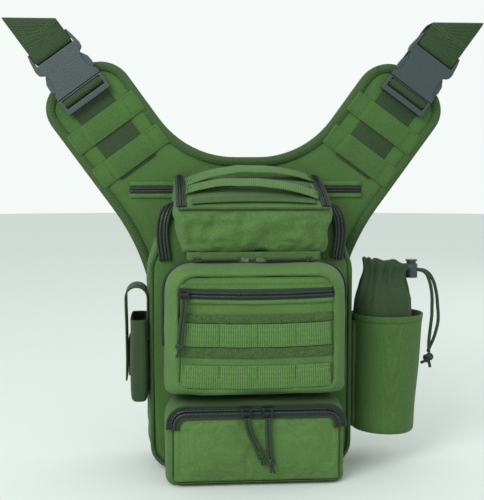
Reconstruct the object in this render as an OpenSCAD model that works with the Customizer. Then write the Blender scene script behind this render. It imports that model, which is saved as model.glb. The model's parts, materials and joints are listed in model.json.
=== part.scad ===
// Sling bag on a padded two-armed harness panel, with zipped compartments, a bottle holder,
// a phone pouch and two side-release buckles. Millimetres, +Z up, front towards -Y.
// The origin is on the underside of the main compartment, on the bag's middle plane.

/* [Main compartment] */
// Width of the main compartment
body_w = 232; // [220:1:240]
// Depth of the main compartment, front to back
body_d = 70; // [68:1:74]
// Height of the main compartment's top
body_h = 296; // [294:1:297]
// Thickness of every cloth wall
wall = 2; // [1.6:0.1:2.4]

/* [Harness panel] */
// Thickness of the padded panel
panel_t = 12; // [11:0.5:14]
// Width of each arm
arm_w = 106; // [100:1:110]
// Lean of each arm away from upright, in degrees
arm_tilt = 36; // [35:0.5:37]
// Distance of each arm's end from the middle plane
tip_x = 205; // [203:1:208]
// Height of each arm's end
tip_z = 450; // [447:1:453]
// Height of the neckline
neck_z = 355; // [353:1:357]

/* [Front pockets] */
// Width of the front compartment
front_w = 198; // [194:1:200]
// Depth of the front compartment
front_d = 36; // [34:1:37]
// Depth of the zipped pocket on its front
pocket_d = 33; // [30:1:34]
// Height of the bottom pocket
bottom_h = 90; // [88:1:91]

/* [Webbing and buckles] */
// Width of the strap webbing
web_w = 50; // [48:1:50]
// Thickness of the strap webbing
web_t = 1.5; // [1.3:0.1:1.5]
// Width of the pocket webbing
row_w = 25; // [24:0.5:25]
// Travel of each buckle's socket off its plug
clip_travel = 50; // [42:1:52]

/* [Bottle holder] */
// Radius of the bottle holder's mouth
cup_r = 42; // [40:1:43]
// Height of the bottle holder
cup_h = 138; // [134:1:140]

/* [Hidden] */
$fn = 48;

// Colours
olive = "#4c7a3a";
olive_dark = "#3a5c33";
olive_light = "#5f8f4b";
zip_grey = "#2b3a30";
black = "#1b2224";
metal = "#9aa09a";

// Depths, from back to front
back_y = 50;
front_y = back_y - body_d;
panel_back_y = back_y + panel_t;
leaf_y = front_y - front_d;
pocket_y = leaf_y - 1 - pocket_d;
gap = 0.4;

// ---- Outlines -------------------------------------------------------------------------------

function unit(v) = v / norm(v);

// Arc of n steps that rounds the corner b, between a and c, to radius r
function fillet(a, b, c, r, n) =
    let (u = unit(a - b), w = unit(c - b), half = acos(u * w) / 2,
         centre = b + unit(u + w) * r / sin(half),
         s = b + u * r / tan(half) - centre, e = b + w * r / tan(half) - centre,
         start = atan2(s.y, s.x), turn = atan2(s.x * e.y - s.y * e.x, s * e))
    [for (i = [0 : n]) centre + r * [cos(start + turn * i / n), sin(start + turn * i / n)]];

// Closed outline with each corner rounded to its own radius; 0 leaves it sharp
function rounded(p, r, n = 8) =
    let (count = len(p)) [for (i = [0 : count - 1])
        each r[i] > 0 ? fillet(p[(i + count - 1) % count], p[i], p[(i + 1) % count], r[i], n) : [p[i]]];

// A right half and its mirror image, as one closed list
function both_sides(half) = concat(half, [for (i = [len(half) - 1 : -1 : 0]) [-half[i].x, half[i].y]]);
function both_radii(r) = concat(r, [for (i = [len(r) - 1 : -1 : 0]) r[i]]);

// Rectangle w wide from z0 to z1, with its own top and bottom corner radii
function block(w, z0, z1, r_top, r_low) =
    rounded([[w / 2, z0], [w / 2, z1], [-w / 2, z1], [-w / 2, z0]], [r_low, r_top, r_top, r_low]);

// Extrudes an outline drawn in X and Z from depth y0 back to depth y1
module across_y(y0, y1) {
    translate([0, y1, 0]) rotate([90, 0, 0]) linear_extrude(y1 - y0) children();
}

// Extrudes an outline drawn in Y and Z from x0 to x1
module across_x(x0, x1) {
    translate([x0, 0, 0]) rotate([90, 0, 90]) linear_extrude(x1 - x0) children();
}

module box(low, high) {
    translate(low) cube(high - low);
}

// Mirrors to the left side when s is negative
module at_side(s) {
    if (s < 0) mirror([1, 0, 0]) children();
    else children();
}

// The arm's own frame: X across it with + outward, Z along it with 0 at the arm's end
module on_arm(s) {
    at_side(s) translate([tip_x, 0, tip_z]) rotate([0, arm_tilt, 0]) children();
}

// ---- Cords ----------------------------------------------------------------------------------

// A cord of oval section that follows a list of points; its width lies square to flat_to
module cord(path, width, thick, sides = 8, flat_to = [0, 1, 0]) {
    n = len(path);
    tangent = [for (i = [0 : n - 1]) unit(path[min(i + 1, n - 1)] - path[max(i - 1, 0)])];
    rings = [for (i = [0 : n - 1]) let (w = unit(cross(tangent[i], flat_to)), u = cross(w, tangent[i]))
        for (k = [0 : sides - 1]) path[i] + w * width / 2 * cos(360 * k / sides)
                                          + u * thick / 2 * sin(360 * k / sides)];
    walls = [for (i = [0 : n - 2]) for (k = [0 : sides - 1])
        let (a = i * sides, b = a + sides, next = (k + 1) % sides) [a + k, a + next, b + next, b + k]];
    first = [for (k = [sides - 1 : -1 : 0]) k];
    last = [for (k = [0 : sides - 1]) (n - 1) * sides + k];
    polyhedron(rings, concat([first, last], walls), convexity = 6);
}

// ---- Harness panel --------------------------------------------------------------------------

along = [sin(arm_tilt), cos(arm_tilt)];
out = [cos(arm_tilt), -sin(arm_tilt)];
tip = [tip_x, tip_z];
inner_tip = tip - out * arm_w / 2;
outer_tip = tip + out * arm_w / 2;
panel_side = body_w / 2 - 4;
panel_low = 6;
neck_corner = inner_tip - along * (inner_tip.y - neck_z) / along.y;
flare_corner = outer_tip - along * (outer_tip.x - panel_side) / along.x;
panel_outline = rounded(
    both_sides([[panel_side - 7, panel_low], flare_corner, outer_tip, inner_tip, neck_corner]),
    both_radii([25, 250, 34, 38, 110]), 10);
binding_t = 1.5;

module panel_layer(y0, y1) {
    across_y(y0, y1) offset(delta = -binding_t) polygon(panel_outline);
}

module panel_face() {
    color(olive) panel_layer(back_y, back_y + 1.5);
}

module panel_foam() {
    color("#39443a") panel_layer(back_y + 1.5, panel_back_y - 2);
}

module panel_back_mesh() {
    color(black) panel_layer(panel_back_y - 2, panel_back_y);
}

module panel_binding() {
    color(olive_dark) across_y(back_y, panel_back_y) difference() {
        polygon(panel_outline);
        offset(delta = -binding_t) polygon(panel_outline);
    }
}

// The long closed zip across the panel, behind the hood
panel_zip_z = 317;
panel_zip_x = 138;
panel_zip_y = back_y - 1.4;
module panel_zip() {
    color(zip_grey) {
        box([-panel_zip_x, panel_zip_y, panel_zip_z - 9], [panel_zip_x, back_y, panel_zip_z + 9]);
        box([-panel_zip_x, panel_zip_y - 1, panel_zip_z - 3], [panel_zip_x, panel_zip_y, panel_zip_z + 3]);
    }
}

// Webbing tail along each arm, from under the buckle to the end of the lower band
module arm_web(s) {
    color(olive_dark) on_arm(s) box([-web_w / 2, back_y - web_t, -132], [web_w / 2, back_y, -28]);
}

// Two cross bands on each arm that hold the webbing down
band_y = back_y - web_t;
band_spans = [[-81, -54], [-129, -102]];
module arm_bands() {
    color(olive) for (s = [-1, 1]) for (b = band_spans)
        on_arm(s) box([-47, band_y - web_t, b[0]], [47, band_y, b[1]]);
}

// ---- Main compartment -----------------------------------------------------------------------

shoulder_z = 235;
crown_x = 92;
body_outline = rounded(
    both_sides([[body_w / 2, 0], [body_w / 2, shoulder_z], [crown_x, body_h]]),
    both_radii([25, 40, 12]));
mouth_x = 70;
mouth_front_y = front_y + 6;
mouth_back_y = back_y - 6;

module main_body() {
    color(olive) difference() {
        across_y(front_y, back_y) polygon(body_outline);
        across_y(front_y + wall, back_y - wall) offset(delta = -wall) polygon(body_outline);
        box([-mouth_x, mouth_front_y, body_h - 2 * wall], [mouth_x, mouth_back_y, body_h + 5]);
    }
}

// Stiff board lying in the bottom of the main compartment
module base_board() {
    color(black) box([-90, front_y + wall + 2, wall], [90, back_y - wall - 2, wall + 2]);
}

// Arched zip of the main compartment, down both shoulders
arch_low = [98, 243];
arch_high = [82, 293];
arch_band = 13;
module arch_zip() {
    direction = unit(arch_high - arch_low);
    side = [direction.y, -direction.x] * arch_band / 2;
    color(black) for (s = [-1, 1]) at_side(s) {
        across_y(front_y - 1.4, front_y)
            polygon([arch_low - side, arch_low + side, arch_high + side, arch_high - side]);
        across_y(front_y - 2.6, front_y - 1.4)
            polygon([arch_low - side / 3, arch_low + side / 3, arch_high + side / 3, arch_high - side / 3]);
    }
}

// ---- Hood: the top pocket that tips forward off the main compartment ------------------------

hood_w = 172;
hood_low_z = 249;
hood_shelf_z = body_h + 2;
hood_low_y = front_y - 30;
hood_brow = [front_y - 38, 298];
hood_back_y = back_y - 8;
hood_back_z = 330;
hood_side = [[hood_low_y, hood_low_z], hood_brow, [hood_back_y, hood_back_z],
             [hood_back_y, hood_shelf_z], [front_y - 3, hood_shelf_z], [front_y - 3, hood_low_z]];
lid_t = 3;
slope = unit([hood_back_y, hood_back_z] - hood_brow);
lid_up = [-slope.y, slope.x];
lid_len = norm([hood_back_y, hood_back_z] - hood_brow);

module hood() {
    color(olive) difference() {
        across_x(-hood_w / 2, hood_w / 2) polygon(hood_side);
        across_x(-hood_w / 2 + wall, hood_w / 2 - wall) offset(delta = -wall) polygon(hood_side);
        across_x(-hood_w / 2 + 10, hood_w / 2 - 10)
            polygon([hood_brow + slope * 8 - lid_up * 6, hood_brow + slope * 8 + lid_up * 6,
                     hood_brow + slope * (lid_len - 8) + lid_up * 6,
                     hood_brow + slope * (lid_len - 8) - lid_up * 6]);
    }
}

// A strip on the lid: from a to b along the slope, and from low to high above the hood's edge
module on_lid(x0, x1, a, b, low, high) {
    near = hood_brow + slope * a;
    far = hood_brow + slope * b;
    across_x(x0, x1)
        polygon([near + lid_up * low, far + lid_up * low, far + lid_up * high, near + lid_up * high]);
}

module hood_lid() {
    color(olive) on_lid(-hood_w / 2, hood_w / 2, 1, lid_len + 3, gap, lid_t);
}

module hood_webbing() {
    color(olive_light) for (a = [22, 66]) on_lid(-71, 71, a, a + row_w, lid_t, lid_t + 1.4);
}

module hood_loop_patch() {
    color(olive_dark) on_lid(-68, 68, 48, 65, lid_t, lid_t + 1);
}

module hood_zip() {
    color(zip_grey) for (s = [-1, 1]) at_side(s)
        on_lid(73, 85, 2, lid_len + 1, lid_t, lid_t + 1.6);
}

// ---- Front compartment and the zipped pocket that is its door -------------------------------

front_low_z = 98;
front_high_z = 240;
front_zip_low_z = 150;
front_zip_t = 1.2;
function front_outline(grow = 0) =
    block(front_w + 2 * grow, front_low_z, front_high_z + grow, 28 + grow, 8);

module front_gusset() {
    color(olive) difference() {
        across_y(leaf_y, front_y - gap / 4) polygon(front_outline());
        across_y(leaf_y - 1, front_y - wall) offset(delta = -wall) polygon(front_outline());
    }
}

// Half of the compartment's zip: a band round the top and down both sides
module front_zip_half(y0, y1) {
    color(zip_grey) intersection() {
        across_y(y0, y1) difference() {
            polygon(front_outline(front_zip_t));
            polygon(front_outline(0.01));
        }
        box([-front_w, y0 - 1, front_zip_low_z], [front_w, y1 + 1, front_high_z + 20]);
    }
}

module front_zip_outer() {
    front_zip_half(leaf_y, leaf_y + 7);
}

module front_zip_inner() {
    front_zip_half(leaf_y - 8, leaf_y - 1);
}

pocket_slit_z = 211;
pocket_slit_x = 82;
function pocket_face() = block(front_w - 22, front_low_z + 7, front_high_z - 6, 18, 5);

module thin_slab(y, outline) {
    across_y(y, y + 0.5) polygon(outline);
}

module front_pocket() {
    color(olive) difference() {
        hull() {
            thin_slab(leaf_y - 1.5, front_outline());
            thin_slab(pocket_y, pocket_face());
        }
        hull() {
            across_y(leaf_y - 3.5, leaf_y - 3) offset(delta = -wall) polygon(front_outline());
            across_y(pocket_y + wall, pocket_y + wall + 0.5) offset(delta = -wall) polygon(pocket_face());
        }
        box([-pocket_slit_x, pocket_y - 1, pocket_slit_z - 5],
            [pocket_slit_x, pocket_y + 4, pocket_slit_z + 5]);
    }
}

module pocket_zip() {
    color(zip_grey) {
        box([-pocket_slit_x - 2, pocket_y - 1, pocket_slit_z - 9],
            [pocket_slit_x + 3, pocket_y, pocket_slit_z + 9]);
        box([-pocket_slit_x - 2, pocket_y - 2.2, pocket_slit_z - 4],
            [pocket_slit_x + 3, pocket_y - 1, pocket_slit_z + 4]);
    }
}

row_tops = [180, 135];
strip_spans = [[180.2, 189.5], [143, 154.8]];
module pocket_webbing() {
    color(olive_light) for (z = row_tops)
        box([-84, pocket_y - 2, z - row_w], [84, pocket_y, z]);
}

module pocket_loop_strips() {
    color(olive_dark) for (z = strip_spans)
        box([-84, pocket_y - 1.2, z[0]], [84, pocket_y, z[1]]);
}

// ---- Bottom pocket --------------------------------------------------------------------------

bottom_w = 196;
bottom_front_y = pocket_y + 7;
bottom_zip_low_z = 56;
flap_w = bottom_w - 14;
flap_low_z = 4;
door_t = 5;
flap_front_y = bottom_front_y - gap / 2 - door_t;
function bottom_outline() = block(bottom_w, 0, bottom_h, 18, 6);
function flap_outline(grow = 0) = block(flap_w + 2 * grow, flap_low_z, bottom_h - 7.5 + grow, 14, 3);

module bottom_pocket() {
    color(olive) difference() {
        across_y(bottom_front_y, front_y - gap / 4) polygon(bottom_outline());
        across_y(bottom_front_y - 1, front_y - wall) offset(delta = -wall) polygon(bottom_outline());
    }
}

module bottom_zip_outer() {
    color(zip_grey) intersection() {
        across_y(bottom_front_y - 1.2, bottom_front_y) difference() {
            polygon(bottom_outline());
            polygon(flap_outline(gap));
        }
        box([-bottom_w, -200, bottom_zip_low_z], [bottom_w, 0, bottom_h + 5]);
    }
}

module bottom_flap() {
    color(olive) across_y(flap_front_y, bottom_front_y - gap / 2) polygon(flap_outline());
}

module bottom_zip_inner() {
    color(zip_grey) intersection() {
        across_y(flap_front_y - 1.2, flap_front_y) difference() {
            polygon(flap_outline());
            polygon(flap_outline(-7));
        }
        box([-bottom_w, -200, bottom_zip_low_z], [bottom_w, 0, bottom_h + 5]);
    }
}

// ---- Zip sliders and their cord pulls -------------------------------------------------------

slider_l = 12;
slider_w = 10;
slider_h = 4.2;
ring_h = 2.6;
pull_w = 6.4;
pull_t = 3.2;
knot_d = 8.5;

// Slider lying in X and Y on top of a zip, with a bridge that holds the pull
module slider() {
    difference() {
        union() {
            box([-slider_l / 2, -slider_w / 2, 0], [slider_l / 2, slider_w / 2, slider_h]);
            box([-4.5, -1.6, slider_h], [4.5, 1.6, slider_h + ring_h]);
        }
        box([-2.8, -3, slider_h - 0.8], [2.8, 3, slider_h + ring_h - 1]);
    }
}

// The same slider turned to stand off a front face, with its bridge forward and across the zip
module front_slider(x, y, z) {
    color(metal) translate([x, y, z]) rotate([90, 0, 0]) slider();
}

module cord_pull(path) {
    last = path[len(path) - 1];
    tail = unit(last - path[len(path) - 2]);
    color(olive_dark) union() {
        cord(path, pull_w, pull_t);
        translate(last) sphere(d = knot_d);
        cord([last, last + tail * 10], pull_w - 1.4, pull_t);
    }
}

// Sliders of the front compartment, on top of the zip and side by side
main_slider_x = [-13, 7];
main_slider_y = leaf_y - 2.2;
main_slider_z = front_high_z + front_zip_t + 0.3;
module main_slider(i) {
    color(metal) translate([main_slider_x[i], main_slider_y, main_slider_z]) difference() {
        box([-slider_l / 2, -5.5, 0], [slider_l / 2, 5.5, slider_h]);
        box([-2.8, -5.6, 1.2], [2.8, -1.8, slider_h + 1]);
    }
}

pull_lie_y = leaf_y - 10.5;
main_pull_left_path = [for (x = [-16, -23, -30, -37, -44, -52, -60]) [x, pull_lie_y, 244.2]];
main_pull_right_path = [for (x = [10, 17, 24, 31, 38, 46, 55]) [x, pull_lie_y, 244.2]];

module main_pull(path) {
    color(olive_dark) union() {
        cord(path, pull_t, pull_t);
        translate(path[len(path) - 1]) rotate([0, 0, 90]) sphere(d = 7);
    }
}

zip_front_y = pocket_y - 2.5;
pocket_pull_path = [[-78, -97.5, 206], [-78, -98, 198], [-79, -98, 190], [-80, -98, 182], [-81, -98, 174],
                    [-82, -98, 166], [-83, -98, 157]];
bottom_slider_z = bottom_h - 8;
bottom_pull_left_path = [[-12, -96.5, 77], [-11, -97, 70], [-9, -97, 63], [-6, -97, 56], [-3, -97, 49],
                         [0, -97, 43], [2, -97, 38]];
bottom_pull_right_path = [[11, -96.5, 77], [11, -97, 69], [11, -97, 61], [12, -97, 53], [12, -97, 45],
                          [13, -97, 37], [14, -97, 30]];

// Slider of the panel's long zip, hidden behind the hood
module panel_slider() {
    color(metal) box([-6, panel_zip_y - 5, panel_zip_z - 5], [6, panel_zip_y - 1.3, panel_zip_z + 5]);
}

// ---- Side-release buckles -------------------------------------------------------------------

clip_y0 = 37;
clip_y1 = 47;
clip_mid_y = (clip_y0 + clip_y1) / 2;
female_top = 45;
female_low = -17;
female_half = [[27, female_top], [29, 37], [31, 24], [30, 19], [25, 16], [23, 10], [23, 2], [25, -7],
               [29.5, -10], [30, female_low]];
cavity_x = 27.5;
slot_x = web_w / 2 + 0.8;
slot_low_z = 28.5;
slot_high_z = 34;

module female_buckle(s) {
    color(black) on_arm(s) difference() {
        across_y(clip_y0, clip_y1) polygon(both_sides(female_half));
        // Webbing slot, and the relief on both faces that thins the end bar
        box([-slot_x, clip_y0 - 1, slot_low_z], [slot_x, clip_y1 + 1, slot_high_z]);
        box([-slot_x, clip_y0 - 1, slot_high_z - 1], [slot_x, clip_y0 + 2, 50]);
        box([-slot_x, clip_y1 - 2, slot_high_z - 1], [slot_x, clip_y1 + 1, 50]);
        // Cavity for the prongs, open at the mouth and at both side windows
        box([-cavity_x, clip_y0 + 1.6, female_low - 1], [cavity_x, clip_y1 - 1.6, 19]);
    }
}

male_top = female_low - 0.5;
male_low = -37;
module male_buckle(s) {
    color(black) on_arm(s) union() {
        difference() {
            box([-30, clip_y0 + 0.5, male_low], [30, clip_y1 - 0.5, male_top]);
            box([-slot_x, clip_y0, -30.5], [slot_x, clip_y1, -26]);
            box([-slot_x, clip_y0, -21.5], [slot_x, clip_y1, -19]);
        }
        // Guide tongue between the prongs
        box([-5, clip_mid_y - 2.6, male_top - 0.5], [5, clip_mid_y + 2.6, 14]);
    }
}

// Springy prong; its root stands on the plug's frame and its barb shows in the socket's window
prong_outline = [[17.6, -16.7], [22.4, -16.7], [23, -11], [24.2, -9], [28.9, -7.5], [30.2, -2], [29.5, 6],
                 [25, 14], [20.5, 14.5], [20.5, 4], [18.2, -8]];
module prong(s, side) {
    color(black) on_arm(s) at_side(side)
        across_y(clip_mid_y - 2.9, clip_mid_y + 2.9) polygon(prong_outline);
}

// ---- Shoulder strap -------------------------------------------------------------------------

strap_top_z = 515;
strap_front_y = clip_y0 + 0.3;
loop_back_y = clip_y1 - 0.3;
loop_z = [slot_low_z + 1, 51.5];
pad_y0 = panel_back_y + 2;
pad_y1 = pad_y0 + 10;
strap_back_y = pad_y1 + 0.3;
glide_z = [-100, -82];
top_reach = (strap_top_z - tip_z) / cos(arm_tilt);
fold_x = tip_x + top_reach * sin(arm_tilt);
fold_half = web_w / 2 / cos(arm_tilt);

// Webbing looped round the socket's end bar, up, over the top and down behind the panel
module strap_web(s) {
    color(olive_dark) union() {
        intersection() {
            on_arm(s) across_x(-web_w / 2, web_w / 2) strap_side();
            box([-400, -200, 0], [400, 200, strap_top_z - web_t / 2]);
        }
        at_side(s) box([fold_x - fold_half, strap_front_y, strap_top_z - web_t],
                       [fold_x + fold_half, strap_back_y + web_t, strap_top_z]);
    }
}

// The strap seen from its edge, in Y and Z: front run with the loop, and the run behind the panel
module strap_side() {
    difference() {
        translate([strap_front_y, loop_z[0]]) square([loop_back_y - strap_front_y, loop_z[1] - loop_z[0]]);
        translate([strap_front_y + web_t, loop_z[0] + web_t])
            square([loop_back_y - strap_front_y - 2 * web_t, loop_z[1] - loop_z[0] - 2 * web_t]);
    }
    translate([strap_front_y, loop_z[0] + web_t]) square([web_t, 130 - loop_z[0]]);
    translate([strap_back_y, glide_z[1] + 20 - clip_travel]) square([web_t, 110 + clip_travel - glide_z[1]]);
}

pad_low_z = 274;
pad_rise = 107;
pad_reach = 155;
function pad_mid(t) = [pad_reach * t, pad_low_z + pad_rise * t * t];
function pad_normal(t) = unit([-2 * pad_rise * t, pad_reach]);
function pad_half(t) = 36 - 5 * t * t;
function pad_edge(t, side) = pad_mid(t) + pad_normal(t) * pad_half(t) * side;
pad_steps = 12;

module strap_pad() {
    color(olive_dark) across_y(pad_y0, pad_y1) polygon(concat(
        [for (i = [-pad_steps : pad_steps]) pad_edge(i / pad_steps, 1)],
        [for (i = [pad_steps : -1 : -pad_steps]) pad_edge(i / pad_steps, -1)]));
}

// Plastic loops on the pad that the strap webbing slides through
module strap_glides() {
    color(black) for (s = [-1, 1]) on_arm(s) difference() {
        box([-30, pad_y1, glide_z[0]], [30, pad_y1 + 4.6, glide_z[1]]);
        box([-slot_x, pad_y1 - 1, glide_z[0] - 1], [slot_x, strap_back_y + web_t + 0.4, glide_z[1] + 1]);
    }
}

// ---- Bottle holder --------------------------------------------------------------------------

cup_x = body_w / 2 + cup_r - 1.5;
cup_y = 6;
cup_low_z = 37;
cup_foot_r = cup_r - 5;
cup_lean = 2.2;
neck_top_z = 232;

module bottle_holder() {
    color(olive) difference() {
        union() {
            on_cup() cylinder(r1 = cup_foot_r, r2 = cup_r, h = cup_h);
            // Sewn tab between the holder and the bag
            box([body_w / 2 + 0.01, cup_y - 14, cup_low_z + 4],
                [cup_x - 20, cup_y + 14, cup_low_z + cup_h - 8]);
        }
        on_cup() translate([0, 0, wall])
            cylinder(r1 = cup_foot_r - wall, r2 = cup_r - wall + 0.04, h = cup_h);
    }
}

module on_cup() {
    translate([cup_x, cup_y, cup_low_z]) rotate([0, cup_lean, 0]) children();
}

module bottle_liner() {
    color(olive_dark) translate([cup_x, cup_y, 0]) rotate_extrude()
        polygon([[34.4, 140], [34.4, 172], [31.5, 196], [23.5, 212], [20.6, 219], [20.6, neck_top_z],
                 [19.4, neck_top_z], [19.4, 218.6], [22.4, 211.2], [30, 195.6], [33, 172], [33, 140]]);
}

// Cord lock on the drawcord, its press button, and the two cord ends with their knot
cord_d = 4;
lock_x = 190;
lock_z = 224;
lock_r = 7.2;
button_r = lock_r - 1.7;
button_travel = 3;

module cord_lock() {
    color(black) translate([lock_x, cup_y, lock_z]) difference() {
        translate([0, 0, -9]) cylinder(r = lock_r, h = 16);
        translate([0, 0, -7]) cylinder(r = lock_r - 1.4, h = 20);
        box([-10, -4.7, -2.5], [10, 4.7, 2.5]);
    }
}

module cord_lock_button() {
    color(black) translate([lock_x, cup_y, lock_z]) difference() {
        union() {
            translate([0, 0, -3.6]) cylinder(r = button_r, h = 14.8);
            translate([0, 0, 10.4]) cylinder(r = lock_r - 0.4, h = 1.8);
        }
        box([-10, -4.6, -2.6], [10, 4.6, 2.6 + button_travel]);
    }
}

drawcord_front_path = [[175, 3.8, 224], [181, 3.8, 224], [187, 3.8, 224], [193, 3.8, 224], [199, 3.8, 224],
    [205, 3.8, 222], [209, 3.8, 217], [212, 3.8, 209], [214, 3.8, 200], [215, 3.8, 190], [215, 3.8, 180],
    [215, 3.8, 170], [214, 3.8, 160], [213, 4, 150], [212, 4, 140], [212, 4, 132], [212, 4.2, 126]];
drawcord_back_path = [[175, 8.2, 224], [181, 8.2, 224], [187, 8.2, 224], [193, 8.2, 224], [199, 8.2, 224],
    [206, 8.2, 223], [212, 8.2, 219], [217, 8.2, 211], [220, 8.4, 202], [222, 8.6, 192], [223, 8.8, 182],
    [224, 9, 172], [224, 9, 162], [222, 9, 152], [219, 8.8, 142], [215, 8.7, 133], [212, 8.6, 126]];

module drawcord(path) {
    color(olive_dark) cord(path, cord_d, cord_d, 8);
}

module drawcord_knot() {
    color(olive_dark) translate([212, 6.4, 119.5]) sphere(d = 15);
}

// ---- Phone pouch ----------------------------------------------------------------------------

pouch_in_x = body_w / 2 + 1.5;
pouch_t = 19.5;
pouch_out_x = pouch_in_x + pouch_t;
pouch_y = [-31, 43];
pouch_z = [80, 174];
flap_y = [-19, 31];
flap_t = 1.8;
arch_mid = [130, 197];
arch_r = 11.8;

// Points along an arc of the flap, and the band of cloth that follows a line of points
function arch(from, to) = [for (a = [from : 6 : to]) arch_mid + arch_r * [-cos(a), sin(a)]];
function flap_side(p, d) = let (n = len(p) - 1) [for (i = [0 : n])
    let (t = unit(p[min(i + 1, n)] - p[max(i - 1, 0)])) p[i] - [t.y, -t.x] * d];
module flap_band(line) {
    back = flap_side(line, flap_t);
    across_y(flap_y[0], flap_y[1]) polygon(concat(line, [for (i = [len(back) - 1 : -1 : 0]) back[i]]));
}

// Pouch, its sewn tab, and the fixed half of the strap that arches over its mouth
module phone_pouch() {
    color(olive) at_side(-1) {
        difference() {
            union() {
                box([pouch_in_x, pouch_y[0], pouch_z[0]], [pouch_out_x, pouch_y[1], pouch_z[1]]);
                box([body_w / 2 + 0.01, -12, pouch_z[0] + 10], [pouch_in_x + 0.5, 24, pouch_z[1] - 6]);
            }
            box([pouch_in_x + wall, pouch_y[0] + wall, pouch_z[0] + wall],
                [pouch_out_x - wall, pouch_y[1] - wall, pouch_z[1] + 5]);
        }
        flap_band(concat([[arch_mid.x - arch_r, pouch_z[1] - 4]], arch(0, 84)));
    }
}

// Moving half of the strap: over the mouth and down the pouch's outer side
module phone_flap() {
    color(olive) at_side(-1) flap_band(concat(arch(96, 180), [[141, 174], [141, 140], [140.6, 103]]));
}

module phone_flap_hook() {
    color(black) at_side(-1)
        box([pouch_out_x + 0.6, flap_y[0] + 6, 108], [pouch_out_x + 2.2, flap_y[1] - 6, 150]);
}

// ---- Nodes ----------------------------------------------------------------------------------

panel_face();
panel_foam();
panel_back_mesh();
panel_binding();
panel_zip();
arm_web(-1);  // arm_web_left
arm_web(1);  // arm_web_right
arm_bands();
main_body();
base_board();
arch_zip();
front_gusset();
front_zip_outer();
bottom_pocket();
bottom_zip_outer();
bottle_holder();
bottle_liner();
phone_pouch();
strap_pad();
strap_glides();
male_buckle(-1);  // male_buckle_left
male_buckle(1);  // male_buckle_right
panel_slider();
hood();
hood_lid();
hood_webbing();
hood_loop_patch();
hood_zip();
front_pocket();
pocket_zip();
pocket_webbing();
pocket_loop_strips();
front_zip_inner();
bottom_flap();
bottom_zip_inner();
main_slider(0);  // main_slider_left
main_slider(1);  // main_slider_right
front_slider(-78, zip_front_y, pocket_slit_z);  // pocket_slider
front_slider(-12, flap_front_y - 1.5, bottom_slider_z);  // bottom_slider_left
front_slider(11, flap_front_y - 1.5, bottom_slider_z);  // bottom_slider_right
main_pull(main_pull_left_path);  // main_pull_left
main_pull(main_pull_right_path);  // main_pull_right
cord_pull(pocket_pull_path);  // pocket_pull
cord_pull(bottom_pull_left_path);  // bottom_pull_left
cord_pull(bottom_pull_right_path);  // bottom_pull_right
female_buckle(-1);  // female_buckle_left
female_buckle(1);  // female_buckle_right
strap_web(-1);  // strap_web_left
strap_web(1);  // strap_web_right
prong(-1, 1);  // prong_left_outer
prong(-1, -1);  // prong_left_inner
prong(1, 1);  // prong_right_outer
prong(1, -1);  // prong_right_inner
phone_flap();
phone_flap_hook();
cord_lock();
cord_lock_button();
drawcord(drawcord_front_path);  // drawcord_front
drawcord(drawcord_back_path);  // drawcord_back
drawcord_knot();
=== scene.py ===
"""Sling bag: cloth, webbing, zips, cords and moulded buckles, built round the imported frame."""

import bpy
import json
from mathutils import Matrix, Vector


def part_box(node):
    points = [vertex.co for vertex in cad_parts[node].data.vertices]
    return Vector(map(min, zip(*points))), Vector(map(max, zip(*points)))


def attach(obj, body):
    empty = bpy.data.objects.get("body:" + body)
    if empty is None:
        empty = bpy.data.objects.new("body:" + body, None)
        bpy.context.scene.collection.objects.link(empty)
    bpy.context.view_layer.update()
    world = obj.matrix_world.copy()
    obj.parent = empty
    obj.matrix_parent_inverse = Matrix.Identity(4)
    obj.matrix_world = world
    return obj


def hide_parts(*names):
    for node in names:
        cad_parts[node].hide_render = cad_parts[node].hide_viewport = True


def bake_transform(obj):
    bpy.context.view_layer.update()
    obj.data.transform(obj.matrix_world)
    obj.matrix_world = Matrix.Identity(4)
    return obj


bl_info = {
    "name": "Sling Bag",
    "version": (1, 0, 0),
    "blender": (4, 5, 0),
    "location": "3D View > Sidebar > Sling Bag",
    "description": "Dresses a sling bag's frame in cloth, webbing, zips, cords and moulded buckles",
    "category": "Object",
}

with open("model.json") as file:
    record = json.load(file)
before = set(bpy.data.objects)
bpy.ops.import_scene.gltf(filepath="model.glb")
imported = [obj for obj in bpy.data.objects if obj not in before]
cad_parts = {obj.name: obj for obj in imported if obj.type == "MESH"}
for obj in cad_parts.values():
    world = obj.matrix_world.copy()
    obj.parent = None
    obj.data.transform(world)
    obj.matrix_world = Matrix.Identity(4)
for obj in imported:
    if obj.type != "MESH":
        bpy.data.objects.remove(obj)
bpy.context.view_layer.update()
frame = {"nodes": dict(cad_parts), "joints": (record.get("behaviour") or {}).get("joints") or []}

import json
import math

import bmesh
import bpy
from bpy.props import FloatProperty, FloatVectorProperty, PointerProperty
from mathutils import Matrix, Vector, geometry, noise

MM = 0.001
FRONT = Vector((0, -1, 0))
BACK = Vector((0, 1, 0))
UP = Vector((0, 0, 1))


def linear(code):
    """A #rrggbb sRGB colour as linear red, green, blue and alpha."""
    parts = [int(code[i:i + 2], 16) / 255 for i in (1, 3, 5)]
    return [c / 12.92 if c <= 0.04045 else ((c + 0.055) / 1.055) ** 2.4 for c in parts] + [1.0]


def mm(x, y, z):
    return Vector((x, y, z)) * MM


# ---- Settings -----------------------------------------------------------------------------------


def colour(label, about, code):
    return FloatVectorProperty(name=label, description=about, default=linear(code), size=4,
                               subtype="COLOR", min=0.0, max=1.0)


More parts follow.
